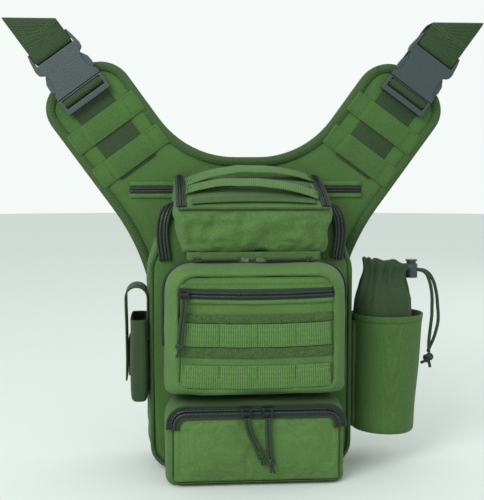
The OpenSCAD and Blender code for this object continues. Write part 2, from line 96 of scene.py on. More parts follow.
class SlingBagCloth(bpy.types.PropertyGroup):
    """Colours and sizes of everything sewn."""
    cloth: colour("Pack cloth", "Dyed nylon of the pockets and the panel", "#486834")
    # The side cloth is the pack cloth painted darker, as shade on faces turned away from the light
    cloth_side: colour("Side cloth", "The same nylon painted darker as shade", "#3e5e2c")
    liner: colour("Liner cloth", "Thin nylon of the gathered bottle liner", "#2b4024")
    strap: colour("Strap webbing", "Heavy webbing of the shoulder strap", "#2a3f22")
    webbing: colour("Light webbing", "Webbing rows and loops on the front", "#4d6f39")
    loop: colour("Loop tape", "Fuzzy half of the touch tape", "#3d5a2b")
    hook: colour("Hook tape", "Bristly half of the touch tape", "#232d22")
    binding: colour("Binding", "Ribbed tape over the panel's edge", "#37542c")
    tape: colour("Zip tape", "Woven tape of the zips", "#26352a")
    cord: colour("Cord", "Braided cord of the pulls and the drawcord", "#2b3d28")
    mesh: colour("Back mesh", "Spacer mesh on the wearer's side", "#1f2621")
    weave: FloatProperty(name="Weave", description="Distance at which the cloth's threads are drawn",
                         default=1.5 * MM, unit="LENGTH", min=0.5 * MM, max=4 * MM)
    puff: FloatProperty(name="Puff", description="How far a padded face may swell",
                        default=6 * MM, unit="LENGTH", min=0.0, max=12 * MM)


class SlingBagHardware(bpy.types.PropertyGroup):
    """Colours of everything moulded or cast."""
    buckle: colour("Buckle", "Moulded acetal of the buckles", "#2b3739")
    coil: colour("Coil", "Nylon coil of the zips", "#161d1a")
    slider: colour("Slider", "Bare zinc of the two main sliders", "#6e776e")
    dark_slider: colour("Dark slider", "Painted zinc of the other sliders", "#2e3631")
    board: colour("Board", "Stiff board in the base", "#22241f")
    foam: colour("Foam", "Closed-cell foam in the panel", "#4a4f4b")


class SlingBagStage(bpy.types.PropertyGroup):
    """Floor, light and camera."""
    floor: colour("Floor", "Painted board that the bag stands on", "#d3dad6")
    sky: FloatProperty(name="Sky", description="Strength of the even light from all round", default=0.97,
                       min=0.0, max=3.0)
    key: FloatProperty(name="Key light", description="Power of the large lamp at the upper left", default=28.0,
                       unit="POWER", min=0.0, max=300.0)
    lens: FloatProperty(name="Lens", description="Focal length of the camera, in millimetres", default=72.0,
                        min=20.0, max=200.0)


# ---- Material nodes -----------------------------------------------------------------------------


def add(tree, kind, settings=None, inputs=None):
    """Adds a node with its settings, and links or sets its inputs."""
    node = tree.nodes.new(kind)
    for name, value in (settings or {}).items():
        setattr(node, name, value)
    for name, value in (inputs or {}).items():
        if isinstance(value, bpy.types.NodeSocket):
            tree.links.new(value, node.inputs[name])
        else:
            node.inputs[name].default_value = value
    return node


def start_material(name, constants):
    """A new material with the numbers that are the same all over set on its shader's own sockets."""
    material = bpy.data.materials.new(name)
    material.use_nodes = True
    shader = material.node_tree.nodes["Principled BSDF"]
    for socket, value in constants.items():
        shader.inputs[socket].default_value = value
    return material, material.node_tree, shader


def shade(base, factor):
    return [min(1.0, c * factor) for c in base[:3]] + [1.0]


def made_once(maker):
    """Keeps each material the first time it is made, so that pieces share it."""
    def made(*words):
        known = bpy.data.materials.get(words[0])
        return known if known else maker(*words)
    return made


@made_once
def pack_cloth(name, base, weave):
    """Coated nylon, plain woven from textured yarn: dull, grainy, paler where it has been rubbed."""
    material, tree, shader = start_material(name, {
        "Roughness": 0.82, "Specular IOR Level": 0.25, "Sheen Weight": 0.05, "Sheen Roughness": 0.6})
    place = add(tree, "ShaderNodeTexCoord").outputs["Object"]
    # The real threads lie 0.6 mm apart; they are drawn wider, so that the weave shows
    turns = add(tree, "ShaderNodeVectorMath", {"operation": "SCALE"}, {0: place, "Scale": 2 * math.pi / weave})
    waves = add(tree, "ShaderNodeVectorMath", {"operation": "SINE"}, {0: turns.outputs[0]})
    threads = add(tree, "ShaderNodeVectorMath", {"operation": "DOT_PRODUCT"},
                  {0: waves.outputs[0], 1: (1.0, 1.0, 1.0)}).outputs["Value"]
    slub = add(tree, "ShaderNodeTexNoise", None,
               {"Vector": place, "Scale": 0.9 / weave, "Detail": 3.0}).outputs["Fac"]
    grain = add(tree, "ShaderNodeMath", {"operation": "MULTIPLY_ADD"}, {0: threads, 1: 0.07, 2: slub}).outputs[0]
    tone = add(tree, "ShaderNodeMapRange", None, {"Value": grain, "From Min": 0.25, "From Max": 0.75}).outputs[0]
    surface_colour = add(tree, "ShaderNodeMix", {"data_type": "RGBA"},
               {0: tone, 6: shade(base, 0.78), 7: shade(base, 1.2)}).outputs[2]
    patchy = add(tree, "ShaderNodeTexNoise", None, {"Vector": place, "Scale": 16.0, "Detail": 4.0}).outputs["Fac"]
    worn = add(tree, "ShaderNodeMapRange", None,
               {"Value": patchy, "From Min": 0.45, "From Max": 0.75, "To Max": 0.3}).outputs[0]
    faded = add(tree, "ShaderNodeMix", {"data_type": "RGBA"},
                {0: worn, 6: surface_colour, 7: shade(base, 1.45)}).outputs[2]
    bump = add(tree, "ShaderNodeBump", None, {"Strength": 0.5, "Distance": 0.35 * MM, "Height": grain})
    tree.links.new(faded, shader.inputs["Base Color"])
    tree.links.new(bump.outputs[0], shader.inputs["Normal"])
    return material


@made_once
def ribbed_weave(name, base, rib, depth, rough):
    """Narrow nylon weave with ribs across its length: each rib painted lighter as highlight, each gap painted darker as
    shade.
    """
    material, tree, shader = start_material(name, {
        "Roughness": rough, "Specular IOR Level": 0.3, "Sheen Weight": 0.04, "Sheen Roughness": 0.5})
    along = add(tree, "ShaderNodeAttribute", {"attribute_name": "along"}).outputs["Vector"]
    turns = add(tree, "ShaderNodeVectorMath", {"operation": "MULTIPLY"},
                {0: along, 1: (2 * math.pi / rib, 2 * math.pi / (2.2 * rib), 0.0)})
    waves = add(tree, "ShaderNodeVectorMath", {"operation": "SINE"}, {0: turns.outputs[0]})
    ribs = add(tree, "ShaderNodeVectorMath", {"operation": "DOT_PRODUCT"},
               {0: waves.outputs[0], 1: (0.5, 0.09, 0.0)}).outputs["Value"]
    fibres = add(tree, "ShaderNodeTexNoise", None, {"Vector": along, "Scale": 700.0, "Detail": 2.0}).outputs["Fac"]
    height = add(tree, "ShaderNodeMath", {"operation": "MULTIPLY_ADD"}, {0: ribs, 1: 0.55, 2: fibres}).outputs[0]
    tone = add(tree, "ShaderNodeMapRange", None, {"Value": height, "From Min": 0.2, "From Max": 0.8}).outputs[0]
    # Painted highlight on each rib and painted shade in each gap, mixed into the webbing's colour
    surface_colour = add(tree, "ShaderNodeMix", {"data_type": "RGBA"},
               {0: tone, 6: shade(base, 0.62), 7: shade(base, 1.22)}).outputs[2]
    bump = add(tree, "ShaderNodeBump", None, {"Strength": 0.7, "Distance": depth, "Height": height})
    tree.links.new(surface_colour, shader.inputs["Base Color"])
    tree.links.new(bump.outputs[0], shader.inputs["Normal"])
    return material


@made_once
def touch_tape(name, base, tuft):
    """Brushed nylon pile on tape: a matted, uneven fuzz that scatters light."""
    material, tree, shader = start_material(name, {
        "Roughness": 1.0, "Specular IOR Level": 0.1, "Sheen Weight": 0.08, "Sheen Roughness": 0.7})
    place = add(tree, "ShaderNodeTexCoord").outputs["Object"]
    pile = add(tree, "ShaderNodeTexNoise", None,
               {"Vector": place, "Scale": 1 / tuft, "Detail": 4.0, "Roughness": 0.7}).outputs["Fac"]
    tone = add(tree, "ShaderNodeMapRange", None, {"Value": pile, "From Min": 0.3, "From Max": 0.7}).outputs[0]
    surface_colour = add(tree, "ShaderNodeMix", {"data_type": "RGBA"},
               {0: tone, 6: shade(base, 0.45), 7: shade(base, 1.35)}).outputs[2]
    bump = add(tree, "ShaderNodeBump", None, {"Strength": 1.0, "Distance": 1.2 * MM, "Height": pile})
    tree.links.new(surface_colour, shader.inputs["Base Color"])
    tree.links.new(bump.outputs[0], shader.inputs["Normal"])
    return material


@made_once
def spacer_mesh(name, base, hole):
    """Knitted polyester spacer mesh: rows of small open cells, painted dark inside as shade, between lighter rims."""
    material, tree, shader = start_material(name, {
        "Roughness": 0.9, "Specular IOR Level": 0.2, "Sheen Weight": 0.08})
    place = add(tree, "ShaderNodeTexCoord").outputs["Object"]
    cells = add(tree, "ShaderNodeTexVoronoi", None,
                {"Vector": place, "Scale": 1 / hole, "Randomness": 0.25}).outputs["Distance"]
    rim = add(tree, "ShaderNodeMapRange", None, {"Value": cells, "From Min": 0.22, "From Max": 0.5}).outputs[0]
    # Painted shade inside each open cell, lighter on the rims round it
    surface_colour = add(tree, "ShaderNodeMix", {"data_type": "RGBA"},
               {0: rim, 6: shade(base, 0.3), 7: shade(base, 1.6)}).outputs[2]
    bump = add(tree, "ShaderNodeBump", None, {"Strength": 0.9, "Distance": 0.8 * MM, "Height": rim})
    tree.links.new(surface_colour, shader.inputs["Base Color"])
    tree.links.new(bump.outputs[0], shader.inputs["Normal"])
    return material


@made_once
def braided_cord(name, base, plait):
    """Braided nylon sheath: crossing diagonal strands, painted lighter on their crowns and dark as shade in the gaps
    between them.
    """
    material, tree, shader = start_material(name, {"Roughness": 0.7, "Specular IOR Level": 0.35})
    along = add(tree, "ShaderNodeAttribute", {"attribute_name": "along"}).outputs["Vector"]
    turn = 2 * math.pi / plait
    left = add(tree, "ShaderNodeVectorMath", {"operation": "DOT_PRODUCT"}, {0: along, 1: (turn, turn, 0.0)})
    right = add(tree, "ShaderNodeVectorMath", {"operation": "DOT_PRODUCT"}, {0: along, 1: (turn, -turn, 0.0)})
    rise = add(tree, "ShaderNodeMath", {"operation": "SINE"}, {0: left.outputs["Value"]}).outputs[0]
    fall = add(tree, "ShaderNodeMath", {"operation": "SINE"}, {0: right.outputs["Value"]}).outputs[0]
    cross = add(tree, "ShaderNodeMath", {"operation": "MULTIPLY"}, {0: rise, 1: fall}).outputs[0]
    tone = add(tree, "ShaderNodeMapRange", None, {"Value": cross, "From Min": -0.6, "From Max": 0.6}).outputs[0]
    # Painted highlight on the strands' crowns and painted shade in the gaps between them
    surface_colour = add(tree, "ShaderNodeMix", {"data_type": "RGBA"},
               {0: tone, 6: shade(base, 0.5), 7: shade(base, 1.45)}).outputs[2]
    bump = add(tree, "ShaderNodeBump", None, {"Strength": 0.8, "Distance": 0.4 * MM, "Height": cross})
    tree.links.new(surface_colour, shader.inputs["Base Color"])
    tree.links.new(bump.outputs[0], shader.inputs["Normal"])
    return material


@made_once
def moulded_acetal(name, base, grit, rough):
    """Acetal from a spark-eroded mould: satin black with a fine pebble, slightly glossier on its rubs."""
    material, tree, shader = start_material(name, {"Specular IOR Level": 0.55, "IOR": 1.48})
    place = add(tree, "ShaderNodeTexCoord").outputs["Object"]
    pebble = add(tree, "ShaderNodeTexNoise", None,
                 {"Vector": place, "Scale": 1 / grit, "Detail": 2.0}).outputs["Fac"]
    rubs = add(tree, "ShaderNodeTexNoise", None, {"Vector": place, "Scale": 60.0, "Detail": 3.0}).outputs["Fac"]
    gloss = add(tree, "ShaderNodeMapRange", None,
                {"Value": rubs, "From Min": 0.3, "From Max": 0.7, "To Min": rough + 0.08,
                 "To Max": rough - 0.08}).outputs[0]
    surface_colour = add(tree, "ShaderNodeMix", {"data_type": "RGBA"},
               {0: pebble, 6: shade(base, 0.7), 7: shade(base, 1.4)}).outputs[2]
    bump = add(tree, "ShaderNodeBump", None, {"Strength": 0.6, "Distance": 0.5 * MM, "Height": pebble})
    tree.links.new(surface_colour, shader.inputs["Base Color"])
    tree.links.new(gloss, shader.inputs["Roughness"])
    tree.links.new(bump.outputs[0], shader.inputs["Normal"])
    return material


@made_once
def painted_zinc(name, base):
    """Die-cast zinc under worn satin paint: bare metal shows in small bright rubs."""
    material, tree, shader = start_material(name, {"Metallic": 0.85})
    place = add(tree, "ShaderNodeTexCoord").outputs["Object"]
    rubs = add(tree, "ShaderNodeTexNoise", None, {"Vector": place, "Scale": 350.0, "Detail": 4.0}).outputs["Fac"]
    tone = add(tree, "ShaderNodeMapRange", None, {"Value": rubs, "From Min": 0.45, "From Max": 0.65}).outputs[0]
    worn = add(tree, "ShaderNodeMix", {"data_type": "RGBA"},
               {0: tone, 6: shade(base, 0.85), 7: shade(base, 1.25)}).outputs[2]
    gloss = add(tree, "ShaderNodeMapRange", None, {"Value": tone, "To Min": 0.5, "To Max": 0.25}).outputs[0]
    tree.links.new(worn, shader.inputs["Base Color"])
    tree.links.new(gloss, shader.inputs["Roughness"])
    return material


@made_once
def cut_foam(name, base, cell):
    """Closed-cell polyethylene foam or pressed board, cut from a sheet: fine even cells, no shine."""
    material, tree, shader = start_material(name, {"Roughness": 0.95, "Specular IOR Level": 0.2})
    place = add(tree, "ShaderNodeTexCoord").outputs["Object"]
    cells = add(tree, "ShaderNodeTexVoronoi", None, {"Vector": place, "Scale": 1 / cell}).outputs["Distance"]
    surface_colour = add(tree, "ShaderNodeMix", {"data_type": "RGBA"},
               {0: cells, 6: shade(base, 1.15), 7: shade(base, 0.7)}).outputs[2]
    bump = add(tree, "ShaderNodeBump", None, {"Strength": 0.4, "Distance": 0.3 * MM, "Height": cells})
    tree.links.new(surface_colour, shader.inputs["Base Color"])
    tree.links.new(bump.outputs[0], shader.inputs["Normal"])
    return material


@made_once
def painted_floor(name, base):
    """Rolled white paint on a flat board: almost even, with a faint stipple."""
    material, tree, shader = start_material(name, {"Roughness": 0.7})
    place = add(tree, "ShaderNodeTexCoord").outputs["Object"]
    stipple = add(tree, "ShaderNodeTexNoise", None, {"Vector": place, "Scale": 40.0, "Detail": 2.0}).outputs["Fac"]
    tone = add(tree, "ShaderNodeMix", {"data_type": "RGBA"},
               {0: stipple, 6: shade(base, 0.97), 7: shade(base, 1.0)}).outputs[2]
    tree.links.new(tone, shader.inputs["Base Color"])
    return material


def finishes():
    """Every finish of the bag by its short name."""
    cloth = bpy.context.scene.sling_bag_cloth
    hard = bpy.context.scene.sling_bag_hardware
    return {
        "cloth": pack_cloth("Nylon pack cloth", cloth.cloth, cloth.weave),
        # The sides' copy of the pack cloth is darker as painted shade
        "side": pack_cloth("Nylon pack cloth, sides", cloth.cloth_side, cloth.weave),
        "liner": pack_cloth("Thin nylon liner", cloth.liner, 1.1 * MM),
        # Real ribs are 0.9 mm apart on heavy webbing and 0.7 mm on tape; both are drawn wider
        "strap": ribbed_weave("Heavy nylon webbing", cloth.strap, 2.0 * MM, 0.5 * MM, 0.75),
        "webbing": ribbed_weave("Light nylon webbing", cloth.webbing, 2.4 * MM, 0.5 * MM, 0.8),
        "binding": ribbed_weave("Grosgrain binding", cloth.binding, 1.6 * MM, 0.3 * MM, 0.8),
        "tape": ribbed_weave("Woven zip tape", cloth.tape, 1.5 * MM, 0.2 * MM, 0.75),
        "loop": touch_tape("Nylon loop tape", cloth.loop, 1.8 * MM),
        "hook": touch_tape("Nylon hook tape", cloth.hook, 1.2 * MM),
        "cord": braided_cord("Braided nylon cord", cloth.cord, 2.6 * MM),
        "mesh": spacer_mesh("Polyester spacer mesh", cloth.mesh, 3.6 * MM),
        "buckle": moulded_acetal("Moulded acetal", hard.buckle, 1.3 * MM, 0.42),
        "coil": moulded_acetal("Nylon zip coil", hard.coil, 0.9 * MM, 0.34),
        "slider": painted_zinc("Worn zinc", hard.slider),
        "dark_slider": painted_zinc("Painted zinc", hard.dark_slider),
        "board": cut_foam("Pressed base board", hard.board, 2.5 * MM),
        "foam": cut_foam("Closed-cell foam", hard.foam, 1.5 * MM),
    }


# ---- Shapes -------------------------------------------------------------------------------------


def outline(node, facing, hull=False):
    """Corner points, in order, of a CAD node's largest flat face that looks along facing."""
    shape = bmesh.new()
    shape.from_mesh(frame["nodes"][node].data)
    bmesh.ops.remove_doubles(shape, verts=shape.verts, dist=0.01 * MM)
    if hull:
        made = bmesh.ops.convex_hull(shape, input=shape.verts)
        loose = {g for g in made["geom_interior"] + made["geom_unused"] if isinstance(g, bmesh.types.BMVert)}
        bmesh.ops.delete(shape, geom=list(loose), context="VERTS")
        bmesh.ops.recalc_face_normals(shape, faces=shape.faces)
    bmesh.ops.dissolve_limit(shape, angle_limit=math.radians(0.5), verts=shape.verts, edges=shape.edges)
    flat = [face for face in shape.faces if face.normal.dot(facing) > 0.99]
    widest = max(flat, key=lambda face: face.calc_area())
    points = [corner.vert.co.copy() for corner in widest.loops]
    shape.free()
    return points


def paced(points, step, closed=False):
    """Points an even step apart along straight runs between the given ones."""
    line = points + points[:1] if closed else points
    reach = [0.0]
    for before, after in zip(line, line[1:]):
        reach.append(reach[-1] + (after - before).length)
    parts = max(2, round(reach[-1] / step))
    paced_line, k = [], 0
    for i in range(parts if closed else parts + 1):
        goal = reach[-1] * i / parts
        while k < len(line) - 2 and reach[k + 1] < goal:
            k += 1
        span = reach[k + 1] - reach[k]
        share = (goal - reach[k]) / span if span else 0.0
        paced_line.append(line[k].lerp(line[k + 1], min(1.0, share)))
    return paced_line


def flowing(points, step):
    """Points about a step apart on a smooth curve through the given ones."""
    line, last = [], len(points) - 1
    for i in range(last):
        a, b, c, d = (points[max(0, min(last, i + k))] for k in (-1, 0, 1, 2))
        parts = max(1, round((c - b).length / step))
        for j in range(parts):
            t = j / parts
            line.append(0.5 * (2 * b + (c - a) * t + (2 * a - 5 * b + 4 * c - d) * t ** 2
                               + (3 * b - a - 3 * c + d) * t ** 3))
    return line + [points[-1]]


def track(points, lift, closed=False):
    """Frames along a line: X across it, Y along lift as far as it can, Z forward."""
    places, count = [], len(points)
    for i, point in enumerate(points):
        ahead = points[(i + 1) % count] if closed else points[min(i + 1, count - 1)]
        behind = points[i - 1] if closed else points[max(i - 1, 0)]
        forward = (ahead - behind).normalized()
        up = lift(i / (count - 1)) if callable(lift) else lift
        across = up.cross(forward).normalized()
        turn = Matrix((across, forward.cross(across), forward)).transposed().to_4x4()
        places.append(Matrix.Translation(point) @ turn)
    return places


def loft(shape, loops, marks=None, closed=False, caps=(True, True), material=0):
    """Joins loops of equally many points by extruding the first one; marks fill the "along" attribute."""
    layers = shape.verts.layers.float_vector
    layer = layers.get("along") or layers.new("along")
    ring = [shape.verts.new(point) for point in loops[0]]
    edges = [shape.edges.new((ring[i - 1], ring[i])) for i in range(len(ring))]
    rings, first, faces = [ring], edges, []
    for loop in loops[1:]:
        geom = bmesh.ops.extrude_edge_only(shape, edges=edges)["geom"]
        fresh = {g for g in geom if isinstance(g, bmesh.types.BMVert)}
        faces += [g for g in geom if isinstance(g, bmesh.types.BMFace)]
        edges = [g for g in geom if isinstance(g, bmesh.types.BMEdge) and fresh.issuperset(g.verts)]
        ring = [next(edge.other_vert(vert) for edge in vert.link_edges if edge.other_vert(vert) in fresh)
                for vert in ring]
        for vert, point in zip(ring, loop):
            vert.co = point
        rings.append(ring)
    if marks:
        for ring, row in zip(rings, marks):
            for vert, mark in zip(ring, row):
                vert[layer] = mark
    if closed:
        faces += bmesh.ops.bridge_loops(shape, edges=first + edges)["faces"]
    for rim, wanted in ((first, caps[0]), (edges, caps[1])):
        if wanted and not closed:
            faces += bmesh.ops.contextual_create(shape, geom=rim)["faces"]
    for face in faces:
        face.material_index = material
    bmesh.ops.recalc_face_normals(shape, faces=faces)
    return rings


def sweep(shape, profile, places, closed=False, material=0, sizes=None):
    """Carries a closed profile along frames, and keeps its run and its section in "along"."""
    run, loops, marks = 0.0, [], []
    for i, place in enumerate(places):
        if i:
            run += (place.translation - places[i - 1].translation).length
        size = sizes[i] if sizes else 1.0
        loops.append([place @ Vector((x * size, y * size, 0.0)) for x, y in profile])
        marks.append([(run, x, y) for x, y in profile])
    return loft(shape, loops, marks, closed, material=material)


def band(width, thick):
    """Section of a flat strap with soft edges."""
    w, t = width / 2, thick / 2
    half = [(w - t, -t), (w - 0.3 * t, -0.7 * t), (w, 0.0), (w - 0.3 * t, 0.7 * t), (w - t, t)]
    return half + [(-x, -y) for x, y in half]


def rod(radius, sides=8):
    return [(radius * math.cos(2 * math.pi * i / sides), radius * math.sin(2 * math.pi * i / sides))
            for i in range(sides)]


def coil(shape, places, radius, across=0.0, pitch=4.2 * MM, phase=0):
    """One row of a zip's coil: a tube with a ridge at every turn, so drawn a little coarser than real."""
    points = [place @ Vector((across, radius * 0.6, 0.0)) for place in places]
    line = paced(points, pitch / 2)
    lift = [place.col[1].to_3d() for place in places]
    turned = track(line, lambda t: lift[min(len(lift) - 1, round(t * (len(lift) - 1)))])
    sizes = [1.0 if (i + phase) % 2 else 0.5 for i in range(len(turned))]
    sweep(shape, [(x, 0.75 * y) for x, y in rod(radius, 7)], turned, material=1, sizes=sizes)


def stitch_row(shape, points, lift, pitch=3.6 * MM, material=0, closed=False):
    """A row of short threads that stand a hair off the cloth."""
    line = paced(points, pitch, closed)
    for place in track(line, lift, closed):
        thread = bmesh.ops.create_icosphere(shape, subdivisions=1, radius=1.0)["verts"]
        flat = Matrix.Diagonal((0.42 * MM, 0.35 * MM, 1.25 * MM, 1.0))
        bmesh.ops.transform(shape, matrix=place @ flat, verts=thread)
        for vert in thread:
            for face in vert.link_faces:
                face.material_index = material


def round_rect(half_w, low, high, r_high, r_low, depth):
    """Points round an upright rectangle with rounded corners, in millimetres, always the same count."""
    corners = [(half_w - r_low, low + r_low, r_low), (half_w - r_high, high - r_high, r_high),
               (r_high - half_w, high - r_high, r_high), (r_low - half_w, low + r_low, r_low)]
    arcs = []
    for k, (x, z, r) in enumerate(corners):
        angles = [math.radians(90 * (k - 1) + 15 * i) for i in range(7)]
        arcs.append([mm(x + r * math.cos(a), depth, z + r * math.sin(a)) for a in angles])
    points = []
    for k, arc in enumerate(arcs):
        start, end = arc[-1], arcs[(k + 1) % 4][0]
        parts = (24, 34)[k % 2]
        points += arc + [start.lerp(end, j / parts) for j in range(1, parts)]
    return points


def patch(shape, half_w, low, high, r_high, r_low, step, surface):
    """A grid fitted into a rounded rectangle, in millimetres, and laid on surface(x, z)."""
    across, tall = round(2 * half_w / step), round((high - low) / step)
    grid = bmesh.ops.create_grid(shape, x_segments=across, y_segments=tall, size=1.0)["verts"]
    for vert in grid:
        x, z = vert.co.x * half_w, low + (vert.co.y + 1) / 2 * (high - low)
        r = r_high if vert.co.y > 0 else r_low
        in_x, in_z = abs(x) - (half_w - r), (z - (high - r)) if vert.co.y > 0 else ((low + r) - z)
        reach = math.hypot(in_x, in_z)
        if in_x > 0 and in_z > 0 and reach > r:
            x = math.copysign(half_w - r + in_x * r / reach, x)
            z = high - r + in_z * r / reach if vert.co.y > 0 else low + r - in_z * r / reach
        vert.co = surface(x, z)
    return grid


def piece(name, shape, body, materials, replaces=(), smooth=True):
    """Turns a finished shape into a named piece on a body, with its finishes."""
    mesh = bpy.data.meshes.new(name)
    shape.to_mesh(mesh)
    shape.free()
    thing = bpy.data.objects.new(name, mesh)
    bpy.context.collection.objects.link(thing)
    known = finishes()
    for finish in materials:
        mesh.materials.append(known[finish])
    mesh.polygons.foreach_set("use_smooth", [smooth] * len(mesh.polygons))
    if body:
        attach(thing, body)
    if replaces:
        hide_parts(*replaces)
    return thing


def finish_node(node, finish, soften=0.0):
    """Gives a CAD node its finish, and softens its edges without touching its mesh."""
    thing = frame["nodes"][node]
    material = finishes()[finish]
    thing.data.materials.clear()
    thing.data.materials.append(material)
    if soften:
        weld = thing.modifiers.new("Weld", "WELD")
        weld.merge_threshold = 0.01 * MM
        bevel = thing.modifiers.new("Soft edges", "BEVEL")
        bevel.width = soften
        bevel.segments = 3
        bevel.limit_method = "ANGLE"
        bevel.angle_limit = math.radians(28)
    return thing


def thicken(thing, thick, offset=-1.0):
    wall = thing.modifiers.new("Thickness", "SOLIDIFY")
    wall.thickness = thick
    wall.offset = offset
    return wall


def soften(thing, levels=1):
    smooth = thing.modifiers.new("Smooth", "SUBSURF")
    smooth.levels = levels
    smooth.render_levels = levels


# ---- Padding ------------------------------------------------------------------------------------


def remesh(thing, voxel):
    """Rebuilds a closed shape from even cells, so that it can be simulated."""
    cells = thing.modifiers.new("Cells", "REMESH")
    cells.mode = "VOXEL"
    cells.voxel_size = voxel
    graph = bpy.context.evaluated_depsgraph_get()
    mesh = bpy.data.meshes.new_from_object(thing.evaluated_get(graph))
    thing.modifiers.remove(cells)
    for material in thing.data.materials:
        if material.name not in mesh.materials:
            mesh.materials.append(material)
    thing.data = mesh
    mesh.polygons.foreach_set("use_smooth", [True] * len(mesh.polygons))


def sewn_along(lines, reach):
    """How firmly a point is held: fully on a seam, and not at all beyond reach of every seam."""
    def hold(point):
        nearest = 1.0
        for start, end in lines:
            foot, share = geometry.intersect_point_line(point, start, end)
            foot = start.lerp(end, max(0.0, min(1.0, share)))
            nearest = min(nearest, (point - foot).length)
        return max(0.0, 1.0 - nearest / reach)
    return hold


def swell(thing, pressure, cap, hold, growth=0.0, steps=20):
    """Blows a sewn shape up from inside as cloth, and keeps every point within cap of where it was."""
    start = [vert.co.copy() for vert in thing.data.vertices]
    group = thing.vertex_groups.new(name="sewn")
    for vert in thing.data.vertices:
        firm = hold(vert.co)
        if firm > 0:
            group.add([vert.index], firm, "REPLACE")
    cloth = thing.modifiers.new("Cloth", "CLOTH")
    cloth.settings.vertex_group_mass = group.name
    cloth.settings.use_pressure = True
    cloth.settings.uniform_pressure_force = pressure
    cloth.settings.effector_weights.gravity = 0.0
    cloth.settings.shrink_min = -growth
    cloth.settings.quality = 5
    scene = bpy.context.scene
    for step in range(1, steps + 1):
        scene.frame_set(step)
    graph = bpy.context.evaluated_depsgraph_get()
    end = [vert.co.copy() for vert in thing.evaluated_get(graph).data.vertices]
    thing.modifiers.remove(cloth)
    thing.vertex_groups.clear()
    scene.frame_set(1)
    for vert, before, after in zip(thing.data.vertices, start, end):
        move = after - before
        far = move.length
        vert.co = before + move * (cap * math.tanh(far / cap) / far if far > 0 else 0.0)
    thing.data.update()


def crumple(thing, amount, size, seed, where=None):
    """Presses shallow folds into cloth along its normals."""
    thing.data.update()
    normals = [vert.normal.copy() for vert in thing.data.vertices]
    for vert, normal in zip(thing.data.vertices, normals):
        spot = Vector((vert.co.x / size[0], vert.co.y / size[1], vert.co.z / size[2])) + Vector((seed, seed, 0))
        fold = noise.noise(spot) + 0.45 * noise.noise(spot * 2.3)
        vert.co += normal * (fold * amount * (where(vert.co) if where else 1.0))
    thing.data.update()


def box_lines(low, high):
    """The twelve edges of a box."""
    lines = []
    for axis in range(3):
        others = [k for k in range(3) if k != axis]
        for i in (0, 1):
            for j in (0, 1):
                start, end = Vector(low), Vector(high)
                for k, far in zip(others, (i, j)):
                    start[k] = end[k] = (low, high)[far][k]
                lines.append((start, end))
    return lines


# ---- Places taken from the frame ----------------------------------------------------------------

joints = {joint["name"]: joint for joint in frame["joints"]}
ARM_ALONG = Vector(joints["right_buckle_release"]["axis"])
ARM_OUT = Vector((ARM_ALONG.z, 0.0, -ARM_ALONG.x))
PRONG_MID = (Vector(joints["prong_right_outer_flex"]["pos_m"])
             + Vector(joints["prong_right_inner_flex"]["pos_m"])) / 2
PRONG_UP = -15.5 * MM
ARM_TIP = Vector((PRONG_MID.x, 0.0, PRONG_MID.z)) - ARM_ALONG * PRONG_UP
ARM_LEAN = ARM_OUT.z / ARM_OUT.x
SIDES = (("left", -1), ("right", 1))


def on_arm(side, x, y, z):
    """A point given in an arm's own frame, in millimetres: X outward across it, Z along it."""
    spot = ARM_TIP + ARM_OUT * (x * MM) + BACK * (y * MM) + ARM_ALONG * (z * MM)
    return Vector((spot.x * side, spot.y, spot.z))


BROW = Vector((0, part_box("hood")[0].y, 298 * MM))
LID_BACK = Vector((0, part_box("hood")[1].y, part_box("hood")[1].z))
SLOPE = (LID_BACK - BROW).normalized()
LID_UP = Vector((0, -SLOPE.z, SLOPE.y))
LID_LENGTH = (LID_BACK - BROW).length
LID_DOME = 9 * MM


def on_lid(x, a, height):
    """A point on the hood's domed lid: x across and a up the slope in millimetres, height off the cloth."""
    share = max(0.0, min(1.0, a * MM / LID_LENGTH))
    across = max(0.0, 1 - (x / 86) ** 2)
    dome = LID_DOME * across ** 0.7 * (4 * share * (1 - share)) ** 0.5
    lift = 1.5 * MM + dome + height * MM
    return Vector((x * MM, 0, 0)) + BROW + SLOPE * (a * MM) + LID_UP * lift


# ---- Cords --------------------------------------------------------------------------------------

PULL_STRAND = 3.2 * MM
FRONT_STRAND = 3.4 * MM
MAIN_PULLS = {
    "left": [(x, -66.5, 244.2) for x in (-16, -23, -30, -37, -44, -52, -60)],
    "right": [(x, -66.5, 244.2) for x in (10, 17, 24, 31, 38, 46, 55)],
}
FRONT_PULLS = {
    "pocket_pull": [(-78, -97.5, 206), (-78, -98, 198), (-79, -98, 190), (-80, -98, 182), (-81, -98, 174),
                    (-82, -98, 166), (-83, -98, 157)],
    "bottom_pull_left": [(-12, -96.5, 77), (-11, -97, 70), (-9, -97, 63), (-6, -97, 56), (-3, -97, 49),
                         (0, -97, 43), (2, -97, 38)],
    "bottom_pull_right": [(11, -96.5, 77), (11, -97, 69), (11, -97, 61), (12, -97, 53), (12, -97, 45),
                          (13, -97, 37), (14, -97, 30)],
}
DRAWCORDS = {
    "drawcord_front": [
        (175, 3.8, 224), (181, 3.8, 224), (187, 3.8, 224), (193, 3.8, 224), (199, 3.8, 224), (205, 3.8, 222),
        (209, 3.8, 217), (212, 3.8, 209), (214, 3.8, 200), (215, 3.8, 190), (215, 3.8, 180), (215, 3.8, 170),
        (214, 3.8, 160), (213, 4, 150), (212, 4, 140), (212, 4, 132), (212, 4.2, 126)],
    "drawcord_back": [
        (175, 8.2, 224), (181, 8.2, 224), (187, 8.2, 224), (193, 8.2, 224), (199, 8.2, 224), (206, 8.2, 223),
        (212, 8.2, 219), (217, 8.2, 211), (220, 8.4, 202), (222, 8.6, 192), (223, 8.8, 182), (224, 9, 172),
        (224, 9, 162), (222, 9, 152), (219, 8.8, 142), (215, 8.7, 133), (212, 8.6, 126)],
}


